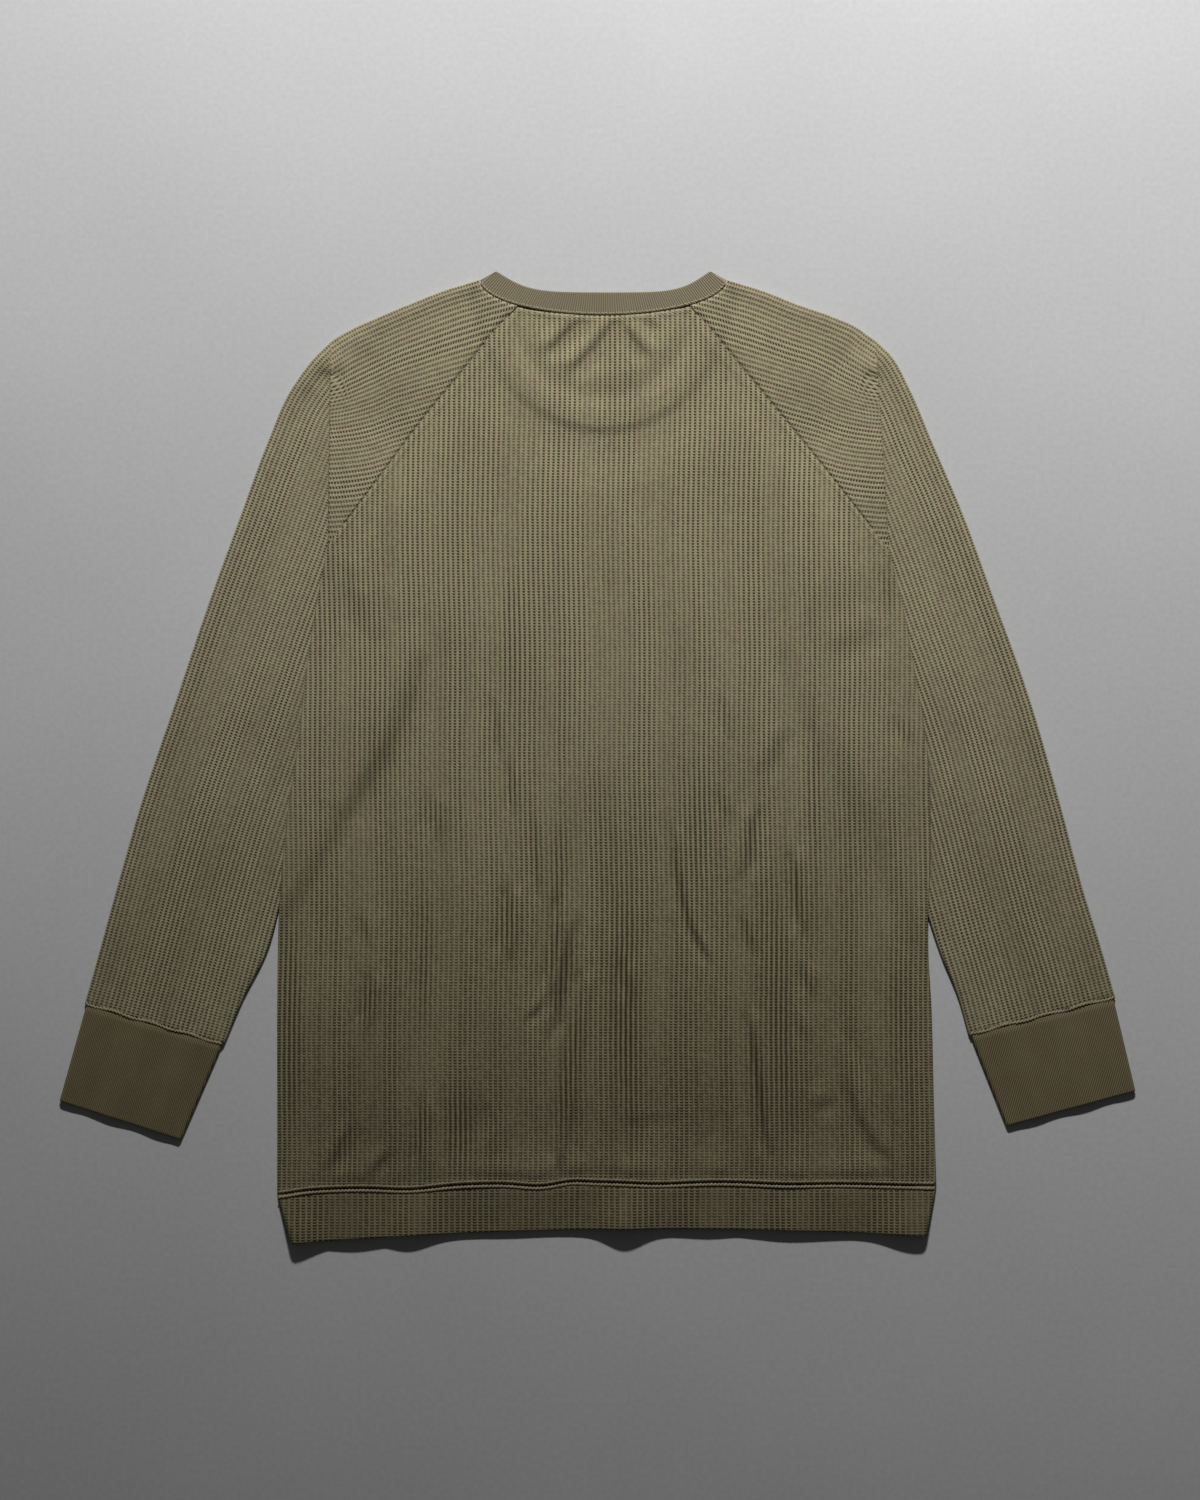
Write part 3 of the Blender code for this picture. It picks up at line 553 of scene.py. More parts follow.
def make_sleeve(side):
    outward = OUTWARD[side]
    start = np.array(FOLD_START[side])
    arm = spline(ARM[side], 150)
    shoulder = spline(SHOULDER[side], 62)
    shoulder_edge = shoulder[:, :2]
    band = math.dist(SHOULDER[side][-1][:2], start)
    near = np.array((0, 0.3, 0.8, 1.4, 2.0, 3.0, 4.5, 6.5, 9, 11.5, 14, 16.5, 19)) * band / 19
    fold_column = len(near) - 1
    beyond_neck = 4 * shoulder_edge[0] - 3 * shoulder_edge[8]
    neck_end = math.dist(beyond_neck, shoulder_edge[0])
    past_fold = 9 * shoulder_edge[-1] - 8 * shoulder_edge[-2]
    outline = np.vstack((beyond_neck, shoulder_edge, arm[1:, :2]))
    shoulder_line = np.vstack((beyond_neck, shoulder_edge, past_fold))
    axis = np.array((outward * GRAIN[0], -GRAIN[1]))
    down = np.array((-outward * GRAIN[1], -GRAIN[0]))
    middle = len(shoulder) // 2
    base = shoulder_edge[middle]
    base_place = run_along(shoulder_edge)[-1] * middle / (len(shoulder) - 1)
    fold_line = (SHOULDER[side][-1][:2], SHOULDER[side][-1][2:])

    def arm_place(x, y):
        across, place, _ = along(outline, x, y)
        return joined(across, place - neck_end)

    def shoulder_place(points):
        """Places whose wales follow the shoulder line, and straighten away from it."""
        x, y = points[..., 0], points[..., 1]
        across, place, _ = along(shoulder_line, x, y)
        from_fold, fold_place, _ = along(fold_line, x, y)
        point = joined(x, y) - base
        pushed = 0.0060 * np.clip(1 - from_fold / 0.036, 0, 1) ** 1.6
        drawn = 0.0110 * np.clip(1 - from_fold / 0.050, 0, 1) * falling(fold_place / 0.120)
        share = smooth((across - 0.010) / 0.060)
        return joined(
            mix(across, point @ down + pushed - drawn, share),
            mix(place - neck_end, point @ axis + base_place, share),
        )

    def crest(x, y):
        return CREST[side][-1] * hump(along(CREST[side][:-1], x, y)[0], CREST_WIDTH)

    def shoulder_half(table, drop, top):
        fold, seam = table[:, :2], table[:, 2:]
        plan, across, width = ruled(table, near, 34)
        run = lengths(fold - fold[0])[:, None]
        neck_x = NECK_CENTRE[0] + outward * NECK_RADIUS
        curve = neck_curve(neck_x, seam[0, 0], across[0] / width[0], drop)
        plan = plan + (curve - plan[0]) * falling(run / 0.035)[:, :, None]
        x, y = plan[:, :, 0], plan[:, :, 1]
        radius = SHOULDER_HEIGHT / 2
        floor = lift(x, y) * smooth((across - 0.003) / 0.024)
        if top:
            puff = SHOULDER_PUFF * hump(across - 0.006, 0.006) + drape(x, y) * smooth(across / 0.01)
            puff = puff + crest(x, y) + NECK_PUFF * falling(run / 0.022)
            seam_edge = falling((width[:, None] - across) / 0.0024)
            z = floor + radius + rounded(across, radius) + neck_ridge(x, y) + puff
            z = z - SEAM_DIP * seam_edge * smooth(run / 0.012)
        else:
            z = floor + radius - rounded(across, radius)
        return joined(x, y, z), across

    top, top_across = shoulder_half(shoulder, NECK_BACK_DROP, True)
    front = [list(row) for row in SHOULDER[side]]
    front[0][2:] = front[1][2:]
    front[1][2:] = [mix(a, b, 0.5) for a, b in zip(front[1][2:], front[2][2:])]
    bottom, _ = shoulder_half(spline(front, 62), NECK_FRONT_DROP, False)

    # the rounded edge of the first fold, which the shoulder lies back over
    fold_direction = np.array(fold_line[1]) - np.array(fold_line[0])
    away = np.array((-fold_direction[1], fold_direction[0])) / np.linalg.norm(fold_direction)
    away *= np.sign(away[0]) * outward
    reach = top_across - band
    behind = along(fold_line, top[:, :, 0], top[:, :, 1])[0]
    top[:, :, 2] -= FOLD_ROLL * falling(behind / 0.018) * smooth(reach / 0.016)
    reach = reach[-1]
    bend = np.clip((top[-1, :, 2] - ARM_HEIGHT - 0.0002) / 2, 0, FOLD_BEND) * smooth(reach / 0.018)
    pull = bend * falling(behind / 0.014)
    top[:, :, :2] -= pull[:, :, None] * away
    last = top[-1, fold_column:]
    last_knit = shoulder_place(last)
    size = bend[fold_column:]
    curl, curl_knit = [], []
    for turn in np.radians((0, 22, 45, 67, 90, 115, 140, 165)):
        point = last.copy()
        point[:, :2] += away * (size * math.sin(turn))[:, None]
        point[:, 2] -= size * (1 - math.cos(turn))
        curl.append(point)
        curl_knit.append(last_knit + joined(0, size * turn))
    tuck = curl[-1].copy()
    tuck[:, :2] -= away * np.minimum(size * 4, 0.012)[:, None]
    curl.append(tuck)
    curl_knit.append(curl_knit[-1] + joined(0, size * 4))

    # the arm, as a flat tube that starts at the shoulder's outer band
    outer, inner = arm[:, :2], arm[:, 2:]
    plan, across, width = ruled(arm, near, 24)
    beyond = np.clip((across[0] - band) / (width[0] - band), 0, 1)[:, None]
    bent = np.where(
        (across[0] <= band)[:, None],
        mix(outer[0], start, (across[0] / band)[:, None]),
        mix(start, inner[0], beyond),
    )
    run = run_along(outer)[:, None]
    plan = plan + (bent - plan[0]) * falling(run / 0.030)[:, :, None]
    x, y = plan[:, :, 0], plan[:, :, 1]
    edge = from_edge(across, width)
    from_cuff = run[-1] - run
    radius = ARM_HEIGHT / 2
    waves = [across * 2 * math.pi / pitch for pitch in GATHER_PITCHES]
    gathers = np.sin(waves[0] + 1.3) + 0.6 * np.sin(waves[1])
    puff = ARM_PUFF * hump(edge - 0.006, 0.006) + drape(x, y) * smooth(edge / 0.01) + crest(x, y)
    puff = puff + GATHER_RISE * gathers * falling(from_cuff / 0.045) * smooth(edge / 0.012)
    seam_dip = CUFF_SEAM_DIP * falling(from_cuff / 0.0030)
    high = radius + rounded(edge, radius) + puff - seam_dip
    low = radius - rounded(edge, radius)
    joins = slice(0, fold_column + 1)
    fade = falling(run / (0.013 + 0.020 * np.clip(1 - across[:, joins] / band, 0, 1)))
    high[:, joins] += (top[-1, joins, 2] - high[0, joins]) * fade
    low[:, joins] += (bottom[-1, joins, 2] - low[0, joins]) * fade
    pocket_x, pocket_y, pocket_depth, pocket_width = POCKET[side]
    high -= pocket_depth * hump(np.hypot(x - pocket_x, y - pocket_y), pocket_width)
    beside_fold, fold_place, _ = along(fold_line, x, y)
    swell = falling((beside_fold - 0.001) / 0.014) * smooth(fold_place / 0.030)
    high += FOLD_RISE * swell * smooth(run / 0.02)
    arm_top, arm_bottom = joined(x, y, high), joined(x, y, low)
    arm_top[0, joins] = top[-1, joins]
    arm_bottom[0, joins] = bottom[-1, joins]
    arm_knit = arm_place(x, y)

    grids = (
        (loop(top, bottom), loop(shoulder_place(top), shoulder_place(bottom))),
        (loop(arm_top, arm_bottom), loop(arm_knit, arm_knit)),
        (np.array(curl)[:, ::-1], np.array(curl_knit)[:, ::-1]),
    )
    piece = cloth(f"sleeve_{side}_knit", grids, SLEEVE_WALL, turned=side == "right")
    dress(piece, sleeve_knit, f"sleeve_{side}")
    return piece


sleeves = {side: make_sleeve(side) for side in ("left", "right")}

# ---- Front panel ----
# The front of the body is one piece of waffle knit with its wales upright. It
# lies on the surface, over the inner edges of the arms, and its neckline is the
# low one. Its side edges turn up to meet the back.

BODY = (  # columns: left edge x, y, right edge x, y, from the hem seam to the underarm
    (-0.256, -0.346, 0.271, -0.342), (-0.256, -0.274, 0.269, -0.274),
    (-0.256, -0.194, 0.267, -0.198), (-0.255, -0.138, 0.264, -0.145),
    (-0.250, -0.065, 0.266, -0.071), (-0.240, 0.006, 0.264, 0.002),
    (-0.232, 0.074, 0.252, 0.078), (-0.224, 0.126, 0.243, 0.126),
    (-0.215, 0.170, 0.233, 0.165),
)
HEM_SEAM_BOW = 0.0055
SEAM_SAG = (  # where the hem seam hangs lower: x, half width, drop
    (-0.256, 0.018, 0.0028), (-0.150, 0.028, 0.0028), (-0.047, 0.020, 0.0026), (-0.021, 0.014, -0.0012),
    (0.048, 0.030, 0.0018), (0.150, 0.030, 0.0014),
)
EDGE = 0.00115
PANEL_WALL = 0.0009
WALE = 0.0040

body_knit = waffle_finish(
    "waffle knit, body", (0.362, 0.316, 0.192), waffle_deep_tone_and_shade, wale=WALE, course=COURSE, pits=0.56,
    fade=(-0.36, 0.10, 0.22, 0.0), contrast=(-0.30, 0.20, 0.80, 1.30),
)


def seam_sag(x):
    return sum(drop * hump(x - centre, half) for centre, half, drop in SEAM_SAG)


def neck_seam_y(x, drop):
    across = np.clip((x - NECK_CENTRE[0]) / NECK_RADIUS, -1, 1)
    return NECK_CENTRE[1] - drop * np.sqrt(1 - across**2)


def panel_plan(body_rows, raglan_rows, neckline_rows, columns):
    """Plan points of a body panel, and their distances from its side edges and raglan seams."""
    seam_rows = [np.array(a[2:] + b[2:]) for a, b in zip(SHOULDER["left"], SHOULDER["right"])]
    neck_row, corner_row = seam_rows[:2]
    body = spline(BODY, body_rows)
    raglan = spline(seam_rows[:0:-1], raglan_rows)[1:]
    at_hem = np.array((0, 0.22, 0.44, 0.66, 0.88))[:, None]
    above_it = np.array((0.1, 0.4, 0.7))[:, None]
    body = np.vstack((mix(body[0], body[1], at_hem), mix(body[1], body[2], above_it), body[2:]))
    rows = np.vstack((body, raglan))
    if neckline_rows:
        near_seam = 1 - np.array((7, 6, 5, 4, 3.2, 2.4, 1.6, 0.8, 0)) / 86.5
        steps = np.concatenate((np.linspace(0, 1 - 0.0925, neckline_rows + 1)[1:], near_seam))
        rows = np.vstack((rows, mix(corner_row, neck_row, steps[:, None])))
    a, b = rows[:, :2], rows[:, 2:]
    width = lengths(b - a)
    edge_steps = np.array((0, 0.3, 0.8, 1.4, 2.0, 3.0, 3.9, 4.5, 5.1, 6.0, 7.5))
    across = spread(width, edge_steps / 1000, columns, edge_steps[::-1])
    share = across / width[:, None]
    x = mix(a[:, :1], b[:, :1], share)
    y = mix(a[:, 1:], b[:, 1:], share)
    from_hem = lengths(a - a[0])[:, None]
    y = y + HEM_SEAM_BOW * np.clip(1 - from_hem / 0.066, 0, 1) * 4 * share * (1 - share)
    y = y - seam_sag(x) * np.clip(1 - from_hem / 0.040, 0, 1)
    first, count = len(body), len(raglan)
    nearness = ((np.arange(count) + 1) / count)[:, None] ** 1.5
    corner_x = mix(corner_row[0], corner_row[2], share)
    corner_y = mix(corner_row[1], corner_row[3], share)
    drop_to_neckline = neck_seam_y(corner_x, NECK_FRONT_DROP) - corner_y
    middle = slice(first, first + count)
    y[middle] += nearness * drop_to_neckline[middle]
    if neckline_rows:
        last = slice(first + count, None)
        low = neck_seam_y(corner_x[last], NECK_FRONT_DROP)
        high = neck_seam_y(mix(neck_row[0], neck_row[2], share[last]), NECK_BACK_DROP)
        y[last] = mix(low, high, steps[:, None])
    edge = from_edge(across, width)
    at_side = (np.arange(len(rows)) < first)[:, None]
    return x, y, np.where(at_side, edge, 1.0), np.where(at_side, 1.0, edge)


def body_place(x, y):
    """Places in the knit, whose wales wander a little."""
    wander = 0.0012 * np.sin(9 * y + 4 * x) + 0.0006 * np.sin(31 * y + 2)
    return joined(x + wander, y + 0.001 * np.sin(7 * x))


x, y, side_edge, _ = panel_plan(100, 30, 0, 84)
front_height = lift(x, y) + EDGE - rounded(side_edge, EDGE)
front_skin = [(joined(x, y, front_height), body_place(x, y))]
front_panel = cloth("front_panel_knit", front_skin, PANEL_WALL, turned=True)
dress(front_panel, body_knit, "front_panel")

# ---- Back panel ----
# The back of the body is one piece of waffle knit that faces up. It lies over
# the front, the arms' inner edges and the hidden half of the neck band, and
# falls in soft folds and drape lines along its wales. Shade is painted into
# the knit's channels where they close up along them.

LOFT = 0.0026
LEAST_LOFT = 0.0004
NECK_SINK = 0.0012
NECK_BAND_SHARE = 0.18
CREASES = (  # each one's line down the back, its rise and its half width
    (((-0.066, 0.002), (-0.068, -0.026), (-0.070, -0.046)), 0.0031, 0.0036),
    (((-0.068, -0.098), (-0.072, -0.138), (-0.078, -0.162)), 0.0044, 0.0066),
    (((-0.052, -0.034), (-0.048, -0.090), (-0.045, -0.118)), 0.0018, 0.0040),
    (((-0.028, -0.106), (-0.035, -0.158), (-0.041, -0.190)), 0.0052, 0.0044),
    (((-0.040, -0.184), (-0.048, -0.202), (-0.062, -0.210)), -0.0029, 0.0044),
    (((-0.018, -0.122), (-0.028, -0.182), (-0.038, -0.226)), -0.0029, 0.0060),
    (((-0.010, -0.166), (-0.018, -0.226), (-0.025, -0.270), (-0.035, -0.326)), 0.0049, 0.0052),
    (((-0.082, 0.054), (-0.078, -0.002)), 0.0018, 0.0040),
    (((-0.128, -0.024), (-0.132, -0.066)), 0.0020, 0.0080),
    (((-0.188, -0.118), (-0.184, -0.154)), 0.0018, 0.0044),
    (((-0.177, -0.168), (-0.184, -0.202), (-0.192, -0.219)), 0.0029, 0.0052),
    (((-0.136, -0.266), (-0.145, -0.330)), 0.0026, 0.0050),
    (((-0.078, -0.278), (-0.096, -0.314)), 0.0018, 0.0120),
    (((-0.196, -0.290), (-0.214, -0.331)), -0.0031, 0.0064),
    (((-0.164, -0.310), (-0.184, -0.336)), -0.0031, 0.0064),
    (((0.060, -0.050), (0.064, -0.094), (0.074, -0.134), (0.092, -0.166)), 0.0034, 0.0042),
    (((0.022, -0.158), (0.024, -0.196)), 0.0031, 0.0062),
    (((0.116, -0.118), (0.123, -0.158)), 0.0023, 0.0052),
    (((0.120, -0.198), (0.128, -0.254), (0.136, -0.318)), 0.0047, 0.0046),
    (((0.152, 0.029), (0.132, -0.016)), -0.0018, 0.0095),
    (((0.126, -0.034), (0.118, -0.098)), -0.0029, 0.0062),
    (((0.100, -0.022), (0.100, -0.051)), 0.0018, 0.0052),
    (((0.156, -0.070), (0.160, -0.114), (0.162, -0.142)), 0.0044, 0.0050),
    (((0.166, -0.162), (0.169, -0.192)), 0.0029, 0.0052),
    (((0.158, -0.203), (0.167, -0.227)), 0.0018, 0.0052),
    (((0.198, -0.254), (0.208, -0.288), (0.223, -0.312), (0.236, -0.320)), 0.0029, 0.0060),
    (((0.192, -0.216), (0.216, -0.262), (0.232, -0.306)), -0.0016, 0.0076),
    (((0.188, -0.266), (0.172, -0.283)), -0.0021, 0.0088),
    (((0.074, -0.283), (0.018, -0.291)), -0.0008, 0.0066),
    (((0.175, 0.034), (0.172, -0.074)), 0.0016, 0.0050),
    (((0.101, 0.056), (0.103, 0.013)), 0.0016, 0.0050),
    (((0.230, 0.112), (0.210, 0.096), (0.180, 0.088)), -0.0014, 0.0140),
    (((0.226, 0.158), (0.236, 0.109)), 0.0014, 0.0055),
    (((0.247, 0.034), (0.242, 0.010)), 0.0021, 0.0077),
    (((-0.202, 0.162), (-0.200, 0.142)), 0.0013, 0.0055),
    (((-0.210, 0.126), (-0.212, 0.090)), 0.0014, 0.0066),
    (((-0.198, 0.140), (-0.180, 0.090)), 0.0013, 0.0120),
    (((-0.136, 0.104), (-0.146, 0.058), (-0.170, 0.008), (-0.204, -0.052)), -0.0014, 0.0190),
    (((-0.010, 0.353), (-0.025, 0.340), (-0.045, 0.321)), -0.0028, 0.0078),
    (((0.016, 0.353), (-0.001, 0.330), (-0.026, 0.306)), -0.0030, 0.0080),
    (((0.018, 0.350), (0.029, 0.334), (0.046, 0.317)), 0.0024, 0.0070),
    (((0.038, 0.352), (0.050, 0.342)), 0.0012, 0.0050),
)
PAINTED_SHADE_WALES = (  # slighter bends with no relief, of which only painted shade in the closed channels shows
    (((0.020, -0.060), (0.022, -0.200), (0.026, -0.338)), 0.0030, 0.0075),
    (((0.130, -0.060), (0.142, -0.160), (0.154, -0.338)), 0.0022, 0.0080),
    (((-0.030, -0.040), (-0.032, -0.150)), 0.0022, 0.0065),
    (((-0.068, 0.180), (-0.066, 0.030)), 0.0016, 0.0080),
    (((0.082, 0.020), (0.080, -0.120)), 0.0018, 0.0070),
    (((-0.136, -0.080), (-0.140, -0.240)), 0.0016, 0.0080),
    (((-0.244, -0.100), (-0.246, -0.330)), 0.0024, 0.0080),
    (((-0.112, -0.250), (-0.108, -0.338)), 0.0024, 0.0090),
    (((0.236, -0.120), (0.246, -0.300)), 0.0016, 0.0080),
)
HEM_HEIGHT = 0.0046
HEM_BULGES = (  # where the back swells above the hem seam: x, half width
    (-0.190, 0.018), (-0.068, 0.036), (-0.018, 0.010), (0.030, 0.016),
    (0.094, 0.012), (0.158, 0.010), (0.198, 0.028),
)
SIDE_SEAMS = (  # columns: two points x, y, depth, half width
    (-0.2180, 0.150, -0.2450, -0.130, 0.0006, 0.0012),
    (0.2610, -0.080, 0.2655, -0.340, 0.0009, 0.0012),
)


def hem_seam_y(x):
    share = np.clip((x - BODY[0][0]) / (BODY[0][2] - BODY[0][0]), 0, 1)
    return mix(BODY[0][1], BODY[0][3], share) + HEM_SEAM_BOW * 4 * share * (1 - share) - seam_sag(x)


def closed_channel_shade(x, y):
    """How far the knit's channels close up where it bends along its wales, from 0 to 1: the share of
    painted shade in them.
    """
    closed = np.zeros(x.shape)
    for line, rise, half_width in CREASES + PAINTED_SHADE_WALES:
        distance, _, ends, length = beside(line, x, y)
        upright = smooth((abs(line[-1][1] - line[0][1]) / length - 0.85) / 0.12)
        bent = upright * min(1.0, abs(rise) / 0.0030)
        closed = np.maximum(closed, bent * hump(distance, 1.2 * half_width) * ends)
    return closed


def back_surface(x, y):
    """Height of the back panel's face, but for its edges."""
    neck_y = (y - NECK_CENTRE[1]) / NECK_FRONT_DROP
    inside = 1 - np.hypot((x - NECK_CENTRE[0]) / NECK_RADIUS, neck_y)
    above_hem = y - hem_seam_y(x)
    bulge = np.max([hump(x - centre, half) for centre, half in HEM_BULGES], axis=0)
    loft = LOFT * falling((inside + 0.50) / 0.38) + 0.0020 * smooth((inside - 0.16) / 0.2)
    loft = loft - (0.0007 + 0.0014 * bulge) * hump(above_hem - 0.038, 0.022)
    loft = loft + 0.0014 * bulge * hump(above_hem - 0.010, 0.008)
    loft = mix(HEM_HEIGHT - 2 * KNIT - SEAM, loft, smooth(above_hem / 0.014))
    relief = loft - NECK_SINK * smooth((inside - NECK_BAND_SHARE - 0.04) / 0.30)
    for line, rise, half_width in CREASES:
        relief = relief + crease(line, rise, half_width, x, y)
    for ax, ay, bx, by, depth, half_width in SIDE_SEAMS:
        relief = relief - depth * hump(along(((ax, ay), (bx, by)), x, y)[0], half_width)
    least = LEAST_LOFT * np.exp(np.minimum(relief / LEAST_LOFT - 1, 0))
    relief = np.where(relief > LEAST_LOFT, relief, least)
    rows = np.array(BODY).T
    from_side = np.minimum(x - np.interp(y, rows[1], rows[0]), np.interp(y, rows[3], rows[2]) - x)
    seams = [[row[2:] for row in SHOULDER[side]] for side in ("left", "right")]
    from_seam = np.minimum(along(seams[0], x, y)[0], along(seams[1], x, y)[0])
    relief = relief * smooth((from_side + 0.004) / 0.040) * smooth((from_seam + 0.001) / 0.034)
    two_layers = mix(2 * EDGE, 2 * KNIT + SEAM, smooth(from_side / 0.020))
    laid = drape(x, y) * smooth((from_side + 0.002) / 0.020)
    return lift(x, y) + two_layers + relief + neck_ridge(x, y) + laid


x, y, side_edge, raglan_edge = panel_plan(116, 52, 24, 205)
back_height = back_surface(x, y) - EDGE + rounded(side_edge, EDGE)
neck_edge = np.where(np.abs(x) < 0.12, neck_seam_y(x, NECK_BACK_DROP) - y, 1.0)
for edge, dip in ((raglan_edge, 0.0003), (neck_edge, 0.0006), (y - y[0], 0.0008)):
    back_height += 0.0004 * hump(edge - 0.0034, 0.0014) - dip * falling(edge / 0.0022)
back_skin = [(joined(x, y, back_height), body_place(x, y))]
back_panel = cloth("back_panel_knit", back_skin, PANEL_WALL, closed=closed_channel_shade(x, y))
dress(back_panel, body_knit, "back_panel")

# ---- Cuffs ----
# Each cuff is a tube of fine cotton rib, doubled over at the hand edge and sewn
# to the sleeve's end. It is darker and smoother than the waffle knit.

RIB = 0.0020
CUFF_HEIGHT = 0.0046
CUFF_EDGE = {  # hand edge: outer x, y, inner x, y
    "left": (-0.430, -0.274, -0.333, -0.305),
    "right": (0.430, -0.266, 0.327, -0.294),
}
CUFF_GATHER = 0.0015
CUFF_WALL = 0.0016
EDGE_STEPS = np.array((0, 0.3, 0.8, 1.4, 2.0, 3.0, 4.5)) / 1000


def rib_group():
    """Fine rib: narrow upright ridges of stitches, with a groove beside each."""
    group, (place, rib, course), result = new_group(
        "rib", ("Place", "Rib", "Course"), ("Height", "Groove shade")
    )
    x, y = split(place)
    sway = speckle(place, (1, 0.4, 1), 70.0, 1.0) - 0.5
    across = (sway * 0.0005 + x) / rib
    ridge = (across * (2 * math.pi)).calculate("COSINE")
    stitch = ((y / course + across) * (2 * math.pi)).calculate("SINE")
    fill(result, {
        "Height": stitch * 0.08 + (ridge * 0.4 + 0.5),
        "Groove shade": ridge.step(-0.9, 0.4, 1.0, 0.0),
    })
    return group


RIB_KNIT = rib_group()


def rib_finish(name, pale, deep, rib, course, relief, depth):
    def surface(tree):
        place = knit_place(tree)
        inputs = {"Place": place, "Rib": rib, "Course": course}
        knitted = new_node(tree, "ShaderNodeGroup", inputs, node_tree=RIB_KNIT).outputs
        # The colour is deepened by painted shade in the rib's grooves, as far as depth gives.
        return place, Signal(knitted["Groove shade"]) * depth + 0.25, Signal(knitted["Height"])

    return cotton_finish(name, pale, deep, relief, surface)


def graded(length, start, middle, count, end):
    """Distances down a band: the given ones at its ends, in mm, and even ones between them."""
    middle = np.linspace(middle, length - 0.004, count)
    return np.concatenate((np.array(start) / 1000, middle, length - np.array(end) / 1000))


cuff_rib = rib_finish(
    "fine rib, cuffs", (0.330, 0.270, 0.142), (0.062, 0.048, 0.022),
    rib=0.0014, course=0.0014, relief=0.0008, depth=0.66,
)

cuffs = {}
for side in ("left", "right"):
    seam = np.array(ARM[side][-1])
    hand = np.array(CUFF_EDGE[side])
    gather = (seam[2:] - seam[:2]) / lengths(seam[2:] - seam[:2]) * CUFF_GATHER
    seam = mix(seam, hand, 0.004) + np.concatenate((gather, -gather))
    length = lengths(hand[:2] - seam[:2])
    runs = graded(length, (0, 1, 2.2, 3.5), 0.005, 26, (2.6, 1.6, 0.9, 0.4, 0))[:, None]
    plan, across, width = ruled(mix(seam, hand, runs / length), EDGE_STEPS, 26)
    x, y = plan[:, :, 0], plan[:, :, 1]
    edge = from_edge(across, width)
    radius = CUFF_HEIGHT / 2
    turn_in = 0.0008 * (1 - rounded(length - runs, 0.0012) / 0.0012)
    wave = 0.0005 * np.sin(across * 150 + runs * 20) * smooth(edge / 0.02)
    high = radius + rounded(edge, radius) + wave - turn_in - 0.0009 * falling(runs / 0.004)
    low = radius - rounded(edge, radius) + turn_in * smooth(edge / 0.004)
    knit = joined(across, runs)
    grid = loop(joined(x, y, high), joined(x, y, np.minimum(low, high)))
    grids = [(grid, loop(knit, knit))]
    cuffs[side] = cloth(f"cuff_{side}_rib", grids, CUFF_WALL, turned=side == "right")
    dress(cuffs[side], cuff_rib, f"cuff_{side}")

# ---- Hem band ----
# The hem band is waffle knit turned up and sewn all round the lower edge. It
# is thicker than the body, and it swells in waves towards its lower edge.

HEM_EDGE = (-0.245, -0.388, 0.263, -0.382)
HEM_EDGE_BOW = 0.0085
HEM_WAVE = 0.0056
HEM_WAVES = (  # columns: x, half width, share of the full height
    (-0.243, 0.022, 1.2), (-0.190, 0.030, 0.45), (-0.150, 0.020, 0.75), (0.022, 0.019, 1.35),
    (0.090, 0.020, 0.25), (0.152, 0.030, 0.45), (0.252, 0.026, 1.0),
)
HEM_WALL = 0.0020
HEM_STRETCH = 0.00456 / WALE  # the band's wales are stretched to this share of their width

# Its colours are darker than the body knit's, which paints the shade of the low end, farther from the
# light.
hem_knit = waffle_finish(
    "waffle knit, hem", (0.225, 0.193, 0.110), (0.036, 0.030, 0.014),
    wale=WALE, course=COURSE, pits=0.62,
)

seam = np.array(BODY[0]) - np.array((0, 1, 0, 1)) * 2 * SEAM
hand = np.array(HEM_EDGE)
depth = math.dist(seam[:2], hand[:2])
runs = graded(depth, (0, 0.8, 1.6, 2.6), 0.004, 14, (2.8, 1.8, 1.0, 0.4, 0))[:, None]


def hem_half(count):
    """Plan points of one side of the band, and their distances from its ends."""
    plan, across, width = ruled(mix(seam, hand, runs / depth), EDGE_STEPS, count)
    share = across / width[:, None]
    x = plan[:, :, 0]
    bow = mix(HEM_SEAM_BOW, HEM_EDGE_BOW, runs / depth) * 4 * share * (1 - share)
    return x, plan[:, :, 1] + bow - seam_sag(x) * (1 - runs / depth), from_edge(across, width)


def hem_heights(x, edge):
    """Heights of the band's upper and lower faces."""
    wave = np.max([share * hump(x - centre, half) for centre, half, share in HEM_WAVES], axis=0)
    radius = (HEM_HEIGHT + HEM_WAVE * wave * smooth(runs / depth)) / 2
    turn_in = 0.0010 * (1 - rounded(depth - runs, 0.0015) / 0.0015)
    dip = 0.0009 * falling(runs / 0.0016) + 0.0008 * falling((runs - 0.002) / 0.005)
    high = radius + rounded(edge, radius) - turn_in - dip
    low = (radius - rounded(edge, radius)) / 2 + turn_in * smooth(edge / 0.004)
    return high, np.minimum(low, high)


x, y, edge = hem_half(150)
top = joined(x, y, hem_heights(x, edge)[0] + drape(x, y) * smooth(edge / 0.01))
top_knit = joined(x / HEM_STRETCH, y)
x, y, edge = hem_half(50)
bottom = joined(x, y, hem_heights(x, edge)[1])
bottom_knit = joined(x / HEM_STRETCH, y)
top[:, 0], top[:, -1] = bottom[:, 0], bottom[:, -1]
hem_band = cloth("hem_band_knit", [(loop(top, bottom), loop(top_knit, bottom_knit))], HEM_WALL)
dress(hem_band, hem_knit, "hem_band")

# ---- Neck band ----
# The neck band is a closed ring of doubled fine rib. Its back half lies on top,
# its front half is hidden under the back, and it folds at the shoulder lines.

